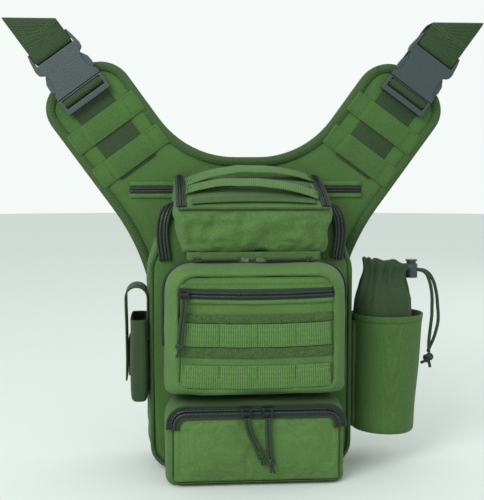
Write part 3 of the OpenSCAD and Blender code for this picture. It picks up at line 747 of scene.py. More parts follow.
def overhand_knot(shape, centre, size, strand, turn):
    """A pulled-tight overhand knot: one strand through a three-lobed loop."""
    line = []
    for i in range(42):
        t = 2 * math.pi * i / 42
        lobe = Vector((math.sin(t) + 2 * math.sin(2 * t), 0.85 * -math.sin(3 * t) * 1.5,
                       math.cos(t) - 2 * math.cos(2 * t)))
        line.append(centre + turn @ (lobe * size / 3))
    sweep(shape, rod(strand / 2, 7), track(line, Vector((0.3, 1, 0.2)), True), closed=True)


def strands(name, route, strand, spread, body, node, knot_size, tail, lift, carried=()):
    """A doubled or single cord on its route, with a knot and short tail as pieces of their own."""
    cord = bmesh.new()
    line = flowing(route, 3.5 * MM)
    sides = (-1, 1) if spread else (0,)
    for side in sides:
        places = track(line, lift)
        moved = [place.translation + place.col[0].to_3d() * (side * spread) for place in places]
        sweep(cord, rod(strand / 2), track(moved, lift))
    thing = piece(name, cord, body, ["cord"], (node,))
    ends = list(carried)
    if knot_size:
        shape = bmesh.new()
        toward = (route[-1] - route[-2]).normalized()
        turn = Matrix.Rotation(math.atan2(toward.x, -toward.z), 3, "Y")
        overhand_knot(shape, route[-1] + toward * strand * 0.5, knot_size / 2 - strand / 2, strand, turn)
        for side in (-1, 1):
            start = route[-1] + toward * knot_size * 0.3
            drift = Vector((side * 0.9 * MM, 0, 0)) if abs(toward.x) < 0.7 else Vector((0, 0, side * 0.9 * MM))
            end = start + toward * tail
            sweep(shape, rod(strand * 0.36, 7), track([start, (start + end) / 2 + drift, end + drift * 2.2], lift))
        ends.append(piece(name + "_knot", shape, body, ["cord"]))
    return thing


class SLINGBAG_OT_stage(bpy.types.Operator):
    """Lay the floor, light it softly and set the camera"""
    bl_idname = "sling_bag.stage"
    bl_label = "Stage and camera"

    def execute(self, context):
        setting = context.scene.sling_bag_stage
        shape = bmesh.new()
        bmesh.ops.create_circle(shape, cap_ends=True, segments=96, radius=6.0)
        mesh = bpy.data.meshes.new("floor")
        shape.to_mesh(mesh)
        shape.free()
        floor = bpy.data.objects.new("floor", mesh)
        context.collection.objects.link(floor)
        mesh.materials.append(painted_floor("White painted board", setting.floor))

        world = bpy.data.worlds.new("Studio")
        world.use_nodes = True
        world.node_tree.nodes["Background"].inputs["Color"].default_value = (0.94, 0.985, 0.965, 1.0)
        world.node_tree.nodes["Background"].inputs["Strength"].default_value = setting.sky
        context.scene.world = world
        lamps = (("key", (-1.0, -1.5, 1.35), 1.0, setting.key), ("rim", (1.6, 0.9, 1.1), 1.4, setting.key * 0.25))
        for name, spot, size, power in lamps:
            light = bpy.data.lights.new(name, "AREA")
            light.size = size
            light.energy = power
            lamp = bpy.data.objects.new(name, light)
            lamp.location = spot
            lamp.rotation_euler = (Vector((0, 0, 0.22)) - Vector(spot)).to_track_quat("-Z", "Y").to_euler()
            context.collection.objects.link(lamp)

        camera = bpy.data.objects.new("camera", bpy.data.cameras.new("camera"))
        camera.data.lens = setting.lens
        camera.location = (-0.100, -1.140, 0.348)
        yaw, pitch = math.radians(4.55), math.radians(-4.95)
        look = Vector((math.sin(yaw) * math.cos(pitch), math.cos(yaw) * math.cos(pitch), math.sin(pitch)))
        camera.rotation_euler = look.to_track_quat("-Z", "Y").to_euler()
        context.collection.objects.link(camera)
        context.scene.camera = camera
        context.scene.view_settings.view_transform = "Standard"
        return {"FINISHED"}


class SLINGBAG_OT_cords(bpy.types.Operator):
    """Lay the five zip pulls and both ends of the drawcord"""
    bl_idname = "sling_bag.cords"
    bl_label = "Cords"

    def execute(self, context):
        for side in ("left", "right"):
            route = [mm(*point) for point in MAIN_PULLS[side]]
            strands(f"main_pull_cord_{side}", route, PULL_STRAND, 0.0, f"main_pull_{side}", f"main_pull_{side}",
                    8 * MM, 5 * MM, FRONT)
        for name, points in FRONT_PULLS.items():
            route = [mm(*point) for point in points]
            strands(name + "_cord", route, FRONT_STRAND, FRONT_STRAND / 2, name, name, 10 * MM, 10 * MM, FRONT)
        knot = bmesh.new()
        centre = sum(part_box("drawcord_knot"), Vector()) / 2
        for tilt, size in ((20, 4.6), (80, 4.2)):
            turn = Matrix.Rotation(math.radians(tilt), 3, "Z") @ Matrix.Rotation(math.radians(tilt), 3, "X")
            overhand_knot(knot, centre, size * MM, 4 * MM, turn)
        for start, end in (((0, 0, -3), (-9, -1, -6)), ((1, 1, -3), (3, 2, -12))):
            line = flowing([centre + mm(*start), centre + (mm(*start) + mm(*end)) / 2, centre + mm(*end)], 3 * MM)
            sweep(knot, rod(1.8 * MM), track(line, FRONT))
        end = piece("drawcord_end_knot", knot, "bag", ["cord"], ("drawcord_knot",))
        carried = {"drawcord_front": (end, frame["nodes"]["cord_lock"], frame["nodes"]["cord_lock_button"])}
        for name, points in DRAWCORDS.items():
            route = [mm(*point) for point in points]
            strands(name + "_braid", route, 4 * MM, 0.0, "bag", name, 0, 0, FRONT, carried.pop(name, ()))
        return {"FINISHED"}


# ---- Harness panel ------------------------------------------------------------------------------


class SLINGBAG_OT_harness_panel(bpy.types.Operator):
    """Make the padded two-armed panel: face cloth, back mesh, edge binding and the long zip"""
    bl_idname = "sling_bag.harness_panel"
    bl_label = "Harness panel"

    def execute(self, context):
        edge = outline("panel_face", FRONT)
        face_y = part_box("panel_face")[0].y
        back_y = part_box("panel_back_mesh")[1].y
        rim = paced(edge, 6 * MM, True)
        centre = sum(rim, Vector()) / len(rim)

        slab = bmesh.new()
        inner = [Vector((p.x, face_y + 0.3 * MM, p.z)) for p in rim]
        outer = [Vector((p.x, back_y - 0.3 * MM, p.z)) for p in rim]
        loft(slab, [inner, outer])
        pad = piece("panel_pad", slab, "bag", ["side", "mesh"], ("panel_face",))
        remesh(pad, 5 * MM)
        seam = [(rim[i - 1], rim[i]) for i in range(0, len(rim), 3)]
        middle = (face_y + back_y) / 2
        tree = [(Vector((a.x, middle, a.z)), Vector((b.x, middle, b.z))) for a, b in seam]
        swell(pad, 3.0, 5 * MM, sewn_along(tree, 13 * MM))
        crumple(pad, 1.5 * MM, (0.05, 0.05, 0.09), 3.1)
        creases = [(on_arm(-1, 40, 50, -146), on_arm(-1, -50, 50, -176)), (on_arm(1, 42, 50, -150), on_arm(1, -46, 50, -170)),
                   (mm(-150, 50, 300), mm(-112, 50, 240)), (mm(150, 50, 300), mm(112, 50, 240)),
                   (mm(-60, 50, 345), mm(60, 50, 345))]
        pressed = sewn_along(creases, 9 * MM)
        for vert in pad.data.vertices:
            if vert.co.y < middle:
                vert.co.y = max(vert.co.y, face_y - 0.3 * MM) + 1.6 * MM * pressed(vert.co) ** 2
        for polygon in pad.data.polygons:
            polygon.material_index = 1 if polygon.normal.y > 0.25 else 0
        soften(pad)
        backing = bmesh.new()
        loft(backing, [[Vector((p.x * 0.97, back_y - 1.6 * MM, centre.z + (p.z - centre.z) * 0.97)) for p in rim],
                       [Vector((p.x * 0.97, back_y - 1.0 * MM, centre.z + (p.z - centre.z) * 0.97)) for p in rim]])
        piece("panel_back_lining", backing, "bag", ["mesh"], ("panel_back_mesh",))
        finish_node("panel_foam", "foam")

        # Binding: a folded tape round the whole edge, lips 9 mm in on both faces
        hem = bmesh.new()
        lip = [(-8.5, 6.9), (0.2, 7.0), (2.0, 5.2), (2.0, -5.2), (0.2, -7.0), (-8.5, -6.9), (-8.5, -6.3),
               (0.0, -6.2), (1.1, -4.8), (1.1, 4.8), (0.0, 6.2), (-8.5, 6.3)]
        line = [Vector((p.x, middle, p.z)) for p in paced(edge, 5 * MM, True)]
        places = track(line, FRONT, True)
        outward = (places[0].col[0].to_3d()).dot(line[0] - Vector((0, middle, centre.z))) > 0
        flip = 1 if outward else -1
        sweep(hem, [(x * MM * flip, y * MM) for x, y in lip], places, closed=True)
        for inset in (3.0, 6.5):
            run = [place @ Vector((-inset * MM * flip, 7.15 * MM, 0)) for place in places]
            stitch_row(hem, run, FRONT, 4.2 * MM, material=1, closed=True)
        piece("panel_edge_binding", hem, "bag", ["binding", "webbing"], ("panel_binding",))

        # The long zip, closed, behind the hood
        low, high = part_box("panel_zip")
        line = paced([Vector((low.x, high.y - 0.7 * MM, (low.z + high.z) / 2)),
                      Vector((high.x, high.y - 0.7 * MM, (low.z + high.z) / 2))], 6 * MM)
        places = track(line, FRONT)
        zipper = bmesh.new()
        sweep(zipper, band(high.z - low.z, 1.3 * MM), places)
        for side in (-1, 1):
            coil(zipper, places, 1.7 * MM, side * 1.6 * MM, phase=(side + 1) // 2)
            welt = track([p + UP * (side * 7.2 * MM) + FRONT * 1.0 * MM for p in line], FRONT)
            sweep(zipper, band(5 * MM, 1.6 * MM), welt, material=2)
        piece("panel_zip_chain", zipper, "bag", ["tape", "coil", "cloth"], ("panel_zip",))
        finish_node("panel_slider", "dark_slider", 0.5 * MM)
        return {"FINISHED"}


class SLINGBAG_OT_arm_webbing(bpy.types.Operator):
    """Sew the webbing tails and the two cross bands to each arm"""
    bl_idname = "sling_bag.arm_webbing"
    bl_label = "Arm webbing and bands"

    def execute(self, context):
        width = 50 * MM
        for name, side in SIDES:
            shape = bmesh.new()
            # Up behind the plug, over its middle bar and back down behind itself
            run = [(49.0, -132), (49.0, -100), (49.0, -70), (48.9, -46), (47.8, -37), (44.5, -29.6), (40, -28.2),
                   (36.6, -27.4), (35.6, -25.4), (35.6, -22.6), (36.9, -20.6), (41, -20.3), (45.5, -20.6),
                   (47.7, -23), (48.0, -28)]
            line = flowing([on_arm(side, 0, y, z) for y, z in run], 3 * MM)
            lift = ARM_OUT if side > 0 else Vector((ARM_OUT.x, 0, -ARM_OUT.z))
            places = track(line, lambda t: FRONT)
            for place, ahead, behind in zip(places, line[1:] + line[-1:], line[:1] + line[:-1]):
                forward = (ahead - behind).normalized()
                across = Vector((lift.x * side, 0, lift.z * side))
                turn = Matrix((across, forward.cross(across), forward)).transposed().to_4x4()
                place[0][0:3], place[1][0:3], place[2][0:3] = turn[0][0:3], turn[1][0:3], turn[2][0:3]
            sweep(shape, band(width, 1.4 * MM), places)
            piece(f"arm_webbing_{name}", shape, "bag", ["strap"], (f"arm_web_{name}",))

        bands = bmesh.new()
        for _, side in SIDES:
            for low, high in ((-81, -54), (-129, -102)):
                run = [(-47.5, 49.0), (-44, 48.6), (-34, 48.7), (-28, 48.0), (-24, 47.0), (0, 46.6), (24, 47.0),
                       (28, 48.0), (34, 48.7), (44, 48.6), (47.5, 49.0)]
                line = flowing([on_arm(side, x, y, (low + high) / 2) for x, y in run], 4 * MM)
                sweep(bands, band((high - low) * MM, 1.3 * MM), track(line, FRONT))
                for inner, outer in ((-44.5, -31), (31, 44.5)):
                    corners = [on_arm(side, x, 47.55, z) for x, z in (
                        (inner, low + 2.5), (outer, low + 2.5), (outer, high - 2.5), (inner, high - 2.5))]
                    stitch_row(bands, corners, FRONT, 3.4 * MM, material=1, closed=True)
        piece("arm_cross_bands", bands, "bag", ["side", "cloth"], ("arm_bands",))
        return {"FINISHED"}


# ---- Main compartment ---------------------------------------------------------------------------


class SLINGBAG_OT_main_compartment(bpy.types.Operator):
    """Make the main compartment's shell, its arched zip and the board in its base"""
    bl_idname = "sling_bag.main_compartment"
    bl_label = "Main compartment"

    def execute(self, context):
        low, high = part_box("main_body")
        front = outline("main_body", FRONT, hull=True)
        middle = Vector((0, 0, (low.z + high.z) / 2))
        loops = []
        for depth, inset in ((low.y + 1 * MM, 6), (low.y + 3 * MM, 2.5), (low.y + 8 * MM, 1.0), (0.03, 1.0),
                             (high.y - 6 * MM, 1.0), (high.y - 0.5 * MM, 4)):
            wide, tall = 1 - inset * MM / high.x, 1 - 2 * inset * MM / (high.z - low.z)
            loops.append([Vector((p.x * wide, depth, middle.z + (p.z - middle.z) * tall))
                          for p in paced(front, 8 * MM, True)])
        box = bmesh.new()
        loft(box, loops)
        body = piece("main_compartment_shell", box, "bag", ["side"], ("main_body",))
        remesh(body, 5.5 * MM)
        ring = paced(front, 16 * MM, True)
        seams = []
        for depth in (low.y + 2 * MM, high.y - 1 * MM):
            around = [Vector((p.x, depth, p.z)) for p in ring]
            seams += list(zip(around, around[1:] + around[:1]))
        swell(body, 3.5, 4 * MM, sewn_along(seams, 12 * MM), growth=0.02)
        side_folds = lambda co: 1.0 if abs(co.x) > 0.1 else 0.4
        crumple(body, 2.0 * MM, (0.05, 0.05, 0.11), 7.7, side_folds)
        for vert in body.data.vertices:
            vert.co.z = max(vert.co.z, 0.4 * MM)
            vert.co.y = min(max(vert.co.y, low.y + 0.2 * MM), high.y - 0.3 * MM)

        # The mouth under the hood, cut to straight edges
        mouth = (-70 * MM, 70 * MM, low.y + 6 * MM, high.y - 6 * MM)
        shape = bmesh.new()
        shape.from_mesh(body.data)
        gone = [face for face in shape.faces if face.normal.z > 0.5
                and all(mouth[0] < v.co.x < mouth[1] and mouth[2] < v.co.y < mouth[3] and v.co.z > 0.28
                        for v in face.verts)]
        bmesh.ops.delete(shape, geom=gone, context="FACES")
        for vert in shape.verts:
            if vert.is_boundary:
                gaps = [abs(vert.co.x - mouth[0]), abs(vert.co.x - mouth[1]),
                        abs(vert.co.y - mouth[2]), abs(vert.co.y - mouth[3])]
                nearest = gaps.index(min(gaps))
                vert.co[nearest // 2] = mouth[nearest]
        shape.to_mesh(body.data)
        shape.free()
        thicken(body, 1.6 * MM)
        soften(body)
        finish_node("base_board", "board", 0.6 * MM)

        piping = bmesh.new()
        around = [Vector((p.x * 0.972, low.y + 1.6 * MM, middle.z + (p.z - middle.z) * 0.98))
                  for p in paced(front, 7 * MM, True)]
        sweep(piping, rod(2.6 * MM), track(around, FRONT, True), closed=True)
        piece("main_compartment_piping", piping, "bag", ["binding"])

        arches = bmesh.new()
        for _, side in SIDES:
            run = [(97, -21.5, 240), (100, -23, 262), (100, -23.5, 278), (97, -22, 291), (92, -15, 299.5),
                   (89.5, -4, 301.5), (89, 12, 301)]
            line = flowing([mm(side * x, y, z) for x, y, z in run], 4 * MM)
            facing = lambda t: Vector((0.25 * side, -1.0, 0)).lerp(Vector((0.5 * side, -0.1, 1)), max(0.0, t * 1.8 - 0.8))
            places = track(line, facing)
            sweep(arches, band(14 * MM, 1.6 * MM), places)
            for row in (-1, 1):
                coil(arches, places, 2.2 * MM, row * 2.1 * MM, phase=(row + 1) // 2)
                edge = [place @ Vector((row * 5.6 * MM, 1.2 * MM, 0)) for place in places]
                sweep(arches, rod(1.5 * MM, 6), track(edge, facing))
        piece("arch_zip_chain", arches, "bag", ["tape", "coil"], ("arch_zip",))
        return {"FINISHED"}


# ---- Hood ---------------------------------------------------------------------------------------


class SLINGBAG_OT_hood(bpy.types.Operator):
    """Make the hood: its wrinkled pocket, domed lid, slack webbing loops, loop tape and zips"""
    bl_idname = "sling_bag.hood"
    bl_label = "Hood"

    def execute(self, context):
        low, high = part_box("hood")
        side_line = outline("hood", Vector((1, 0, 0)))
        half = high.x + 0.5 * MM
        box = bmesh.new()
        steps = 12
        loft(box, [[Vector((half * (2 * i / steps - 1), p.y, p.z)) for p in side_line] for i in range(steps + 1)])
        bmesh.ops.bevel(box, geom=[e for e in box.edges if not e.is_boundary and e.calc_face_angle(0) > 0.6],
                        offset=4 * MM, segments=2, profile=0.5, affect="EDGES", material=-1)
        hood = piece("hood_pocket", box, "hood", ["cloth"], ("hood",))
        remesh(hood, 4 * MM)
        for vert in hood.data.vertices:
            fall = max(0.0, min(1.0, (BROW.z - vert.co.z) / (BROW.z - low.z)))
            vert.co.x *= 1 - 0.1 * fall
        lines = []
        for x in (-half, half):
            foot = x * 0.9
            lines += [(Vector((foot, low.y + 8 * MM, low.z)), Vector((x, BROW.y, BROW.z))),
                      (Vector((x, BROW.y, BROW.z)), Vector((x, LID_BACK.y, LID_BACK.z)))]
        lines += [(Vector((-half, BROW.y, BROW.z)), Vector((half, BROW.y, BROW.z))),
                  (Vector((-half * 0.9, low.y + 8 * MM, low.z)), Vector((half * 0.9, low.y + 8 * MM, low.z)))]
        swell(hood, 3.5, 7 * MM, sewn_along(lines, 7 * MM), growth=0.05)
        front_only = lambda co: 1.0 if co.z < BROW.z - 2 * MM and co.y < -0.03 else 0.15
        crumple(hood, 4.6 * MM, (0.045, 0.03, 0.019), 1.3, front_only)
        crumple(hood, 1.2 * MM, (0.014, 0.02, 0.03), 5.9, front_only)
        for vert in hood.data.vertices:
            if vert.co.y > -0.02:
                vert.co.z = max(vert.co.z, high.z - 32.2 * MM)
            else:
                vert.co.z = max(vert.co.z, low.z - 1 * MM)
        soften(hood)

        lid = bmesh.new()
        sheet = bmesh.ops.create_grid(lid, x_segments=44, y_segments=26, size=1.0)["verts"]
        for vert in sheet:
            share = (vert.co.y + 1) / 2
            x, a = vert.co.x * (87 - 3 * (1 - share) ** 2), share * (LID_LENGTH / MM + 1)
            ripple = noise.noise(Vector((x / 22, a / 16, 4.0))) * 1.0 + noise.noise(Vector((x / 9, a / 9, 1.0))) * 0.3
            vert.co = on_lid(x, a, ripple)
        cover = piece("hood_lid_cloth", lid, "hood", ["cloth"], ("hood_lid",))
        thicken(cover, 1.6 * MM)
        soften(cover)

        brow = bmesh.new()
        line = paced([BROW + mm(x, 0, 0) for x in (-83, 83)], 5 * MM)
        line = [p + LID_UP * (1.2 + 0.6 * noise.noise(p * 60)) * MM for p in line]
        sweep(brow, rod(1.3 * MM), track(line, FRONT))
        piece("hood_seam_binding", brow, "hood", ["binding"])

        loops = bmesh.new()
        for start, slack, lean in ((22, 7.5, -6), (66, 9.0, 5)):
            line = []
            for i in range(41):
                x = 73 * (i / 20 - 1)
                share = 1 - abs(x / 73) ** 2.4
                wave = 1.2 * noise.noise(Vector((x / 25, start, 0)))
                line.append(on_lid(x, start + 12.5 + 0.02 * lean * x, 2.2 + (slack + wave) * share))
            sweep(loops, band(25 * MM, 1.5 * MM), track(line, LID_UP))
            for x in (-69, 69):
                corners = [on_lid(x - 3, start + 3, 4.2), on_lid(x + 3, start + 3, 4.2),
                           on_lid(x + 3, start + 22, 4.2), on_lid(x - 3, start + 22, 4.2)]
                stitch_row(loops, corners, LID_UP, 3.4 * MM, material=1, closed=True)
        piece("hood_webbing_loops", loops, "hood", ["webbing", "strap"], ("hood_webbing",))

        tape = bmesh.new()
        for start, stop in ((48, 65), (3, 19)):
            line = [on_lid(x, (start + stop) / 2, 1.6) for x in range(-68, 69, 4)]
            sweep(tape, band((stop - start) * MM, 1.4 * MM), track(line, LID_UP))
        piece("hood_loop_tape", tape, "hood", ["loop"], ("hood_loop_patch",))

        zips = bmesh.new()
        for side in (-1, 1):
            line = [on_lid(side * 79.5, a, 1.2) for a in range(2, 107, 4)]
            places = track(line, LID_UP)
            sweep(zips, band(12 * MM, 1.2 * MM), places)
            for row in (-1, 1):
                coil(zips, places, 1.6 * MM, row * 1.5 * MM, phase=(row + 1) // 2)
        piece("hood_side_zips", zips, "hood", ["tape", "coil"], ("hood_zip",))

        # Cloth that joins the hood's foot to the compartment below it
        hinge = Vector(joints["hood_open"]["pos_m"])
        bridge = bmesh.new()
        grid = bmesh.ops.create_grid(bridge, x_segments=30, y_segments=6, size=1.0)["verts"]
        for vert in grid:
            share = (vert.co.y + 1) / 2
            ripple = noise.noise(Vector((vert.co.x * 9, share, 0))) * 0.8 * MM
            vert.co = Vector((vert.co.x * 74 * MM, hinge.y + 2 * MM + ripple, hinge.z - 10 * MM + 12 * MM * share))
        joined = piece("hood_hinge_cloth", bridge, None, ["cloth"])
        thicken(joined, 1.0 * MM)
        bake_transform(joined)
        return {"FINISHED"}


# ---- Front compartment and its zipped pocket ----------------------------------------------------


def pocket_sag(x, z=160):
    """How far the front pocket's middle hangs below its ends, in millimetres; nothing at its top seam."""
    return -2.4 * max(0.0, 1 - (x / 84) ** 2) * max(0.0, min(1.0, (226 - z) / 12))


def pocket_face_y(x, z):
    """Depth of the front pocket's face, in millimetres."""
    across, tall = max(0.0, 1 - (x / 82) ** 2), max(0.0, 1 - ((z - 168) / 59) ** 2)
    dome = 3.4 * (across * tall) ** 0.5
    folds = 0.7 * noise.noise(Vector((x / 30, z / 13, 2.0))) + 0.25 * noise.noise(Vector((x / 9, z / 9, 7.0)))
    return -87.2 - dome - folds * min(1.0, 3 * across * tall)


def on_pocket(x, z, height):
    """A point on the front pocket's face, with the pocket's sag, standing off it by height."""
    return mm(x, pocket_face_y(x, z) - height, z + pocket_sag(x, z))


class SLINGBAG_OT_front_pocket(bpy.types.Operator):
    """Make the front compartment, its zip, and the zipped pocket that is its door"""
    bl_idname = "sling_bag.front_pocket"
    bl_label = "Front compartment and pocket"

    def execute(self, context):
        low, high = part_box("front_gusset")
        lo, hi = low / MM, high / MM
        gusset = bmesh.new()
        loops = []
        for depth, grow in ((hi.y, -1.5), (hi.y - 4, 0.0), (hi.y - 10, 0.6), (hi.y - 20, 0.9), (hi.y - 28, 0.6),
                            (lo.y + 2, 0.0), (lo.y, -0.6)):
            loops.append(round_rect(hi.x + grow, lo.z - grow * 0.4, hi.z + grow, 28 + grow, 8, depth))
        loft(gusset, loops, caps=(True, False))
        shell = piece("front_compartment_shell", gusset, "bag", ["side"], ("front_gusset",))
        crumple(shell, 1.2 * MM, (0.03, 0.018, 0.03), 2.2, lambda co: 1.0 if -0.05 < co.y < -0.024 else 0.0)
        thicken(shell, 1.6 * MM)
        soften(shell)

        # Both halves of the compartment's zip: tape and coil
        halves = (("outer", "bag", low.y + 3.4 * MM, 1, "front_zip_outer"),
                  ("inner", "front_door", low.y - 4.4 * MM, -1, "front_zip_inner"))
        arc = [p for p in round_rect(hi.x + 0.9, lo.z, hi.z + 0.9, 29, 8, 0) if p.z > 150 * MM]
        for name, body, depth, toward, node in halves:
            line = paced([Vector((p.x, depth, p.z)) for p in arc], 5 * MM)
            hub = Vector((0, depth, 0.17))
            lift = lambda t: (line[min(len(line) - 1, round(t * (len(line) - 1)))] - hub).normalized()
            places = track(line, lift)
            flip = 1 if places[0].col[0].y > 0 else -1
            half = bmesh.new()
            sweep(half, band(6.8 * MM, 1.1 * MM), places)
            coil(half, places, 1.7 * MM, -toward * flip * 2.2 * MM, phase=(toward + 1) // 2)
            piece(f"front_zip_{name}_half", half, body, ["tape", "coil"], (node,))

        # The pocket: gusset, puffed border roll, and the groove round its face
        rings = [(99.0, 98.0, 240.0, 28, 8, -57.5), (99.0, 98.0, 240.2, 28, 9, -62), (98.4, 98.4, 240.0, 28, 10, -68),
                 (96.8, 99.4, 239.0, 27, 11, -75), (94.2, 101.0, 237.6, 26, 12, -81), (91.4, 103.2, 235.8, 24, 13, -86),
                 (88.6, 105.4, 233.6, 22, 12, -89.2), (86.0, 107.6, 231.4, 20, 10, -90.6),
                 (84.0, 109.2, 229.4, 18, 9, -90.0), (82.6, 110.4, 228.0, 17, 8, -87.8),
                 (81.8, 111.2, 227.0, 16, 7, -84.8), (81.4, 111.6, 226.6, 16, 7, -83.0)]
        border = bmesh.new()
        loops = []
        for k, ring in enumerate(rings):
            loop = round_rect(*ring)
            for p in loop:
                foot = max(0.0, min(1.0, (130 * MM - p.z) / (32 * MM)))
                p.z += (pocket_sag(p.x / MM) * 0.8 - 1.2 * noise.noise(Vector((p.x * 28, 0, 0.5)))) * foot * MM * min(1, k / 4)
            loops.append(loop)
        loft(border, loops, caps=(False, False))
        roll = piece("front_pocket_border", border, "front_door", ["cloth"], ("front_pocket",))
        lift_at = lambda co: 1.0 if -0.0895 < co.y < -0.068 else 0.2
        crumple(roll, 2.3 * MM, (0.045, 0.02, 0.045), 9.4, lift_at)
        crumple(roll, 0.5 * MM, (0.012, 0.012, 0.012), 4.4, lift_at)
        thicken(roll, 1.5 * MM)
        soften(roll)

        face = bmesh.new()
        patch(face, 82.6, 110.8, 227.6, 16, 8, 3.2, lambda x, z: on_pocket(x, z, 0.0))
        bmesh.ops.delete(face, geom=[f for f in face.faces if abs(f.calc_center_median().z / MM - 211
                         - pocket_sag(f.calc_center_median().x / MM)) < 2.2
                         and abs(f.calc_center_median().x) < 80 * MM], context="FACES")
        bmesh.ops.recalc_face_normals(face, faces=face.faces)
        panel = piece("front_pocket_face", face, "front_door", ["cloth"])
        for polygon in panel.data.polygons:
            if polygon.normal.y > 0:
                panel.data.flip_normals()
                break
        thicken(panel, 1.3 * MM)
        soften(panel)
        lining = bmesh.new()
        loft(lining, [round_rect(97, 100, 238, 26, 8, -59.2), round_rect(97, 100, 238, 26, 8, -58.2)])
        piece("front_pocket_back", lining, "front_door", ["side"])

        # Zip of the pocket, sagging a little in its middle
        zipper = bmesh.new()
        line = [on_pocket(x, 211, 0.9) for x in range(-82, 83, 4)]
        places = track(line, FRONT)
        sweep(zipper, band(15 * MM, 1.1 * MM), places)
        for row in (-1, 1):
            coil(zipper, places, 2.0 * MM, row * 1.9 * MM, phase=(row + 1) // 2)
        for edge, drop in ((218.6, 1), (203.4, -1)):
            welt = [on_pocket(x, edge, 1.6) for x in range(-82, 83, 4)]
            sweep(zipper, band(4.5 * MM, 1.8 * MM), track(welt, FRONT), material=2)
            stitch_row(zipper, [p + UP * (drop * 1.2 * MM) + FRONT * 1.0 * MM for p in welt], FRONT, 3.6 * MM, material=2)
        piece("pocket_zip_chain", zipper, "front_door", ["tape", "coil", "cloth"], ("pocket_zip",))

        rows = bmesh.new()
        for top in (180, 135):
            run = []
            for x in range(-82, 83, 3):
                slack = 1.5 * abs(math.sin(math.pi * (x + 82) / 41)) ** 0.7
                run.append(on_pocket(x, top - 12.5, 1.0 + slack))
            sweep(rows, band(25 * MM, 1.5 * MM), track(run, FRONT))
            for x in (-79, -41, 0, 41, 79):
                tack = [on_pocket(x, top - s, 2.0) for s in (2, 12, 23)]
                stitch_row(rows, tack, FRONT, 2.6 * MM, material=1)
        piece("pocket_webbing_rows", rows, "front_door", ["webbing", "strap"], ("pocket_webbing",))

        strips = bmesh.new()
        for bottom, top in ((180.4, 190), (143.2, 154.6)):
            run = [on_pocket(x, (bottom + top) / 2, 0.9) for x in range(-82, 83, 4)]
            sweep(strips, band((top - bottom) * MM, 1.6 * MM), track(run, FRONT))
        piece("pocket_loop_tape", strips, "front_door", ["loop"], ("pocket_loop_strips",))

        # Cloth under the door, from the compartment's floor to the door's low edge
        hinge = Vector(joints["front_door_open"]["pos_m"])
        bridge = bmesh.new()
        for vert in bmesh.ops.create_grid(bridge, x_segments=30, y_segments=10, size=1.0)["verts"]:
            share = (vert.co.y + 1) / 2
            x, rise = vert.co.x * 85, 0.6 * share + 2.6 * share ** 3
            vert.co = Vector((x * MM, low.y + 1 * MM - 26 * MM * share, hinge.z + (rise + 0.8 * pocket_sag(x) * share) * MM))
        floor = piece("front_hinge_cloth", bridge, None, ["side"])
        thicken(floor, 0.9 * MM)
        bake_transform(floor)
        for side in ("left", "right"):
            finish_node(f"main_slider_{side}", "slider", 0.5 * MM)
        finish_node("pocket_slider", "dark_slider", 0.5 * MM)
        return {"FINISHED"}


# ---- Bottom pocket ------------------------------------------------------------------------------


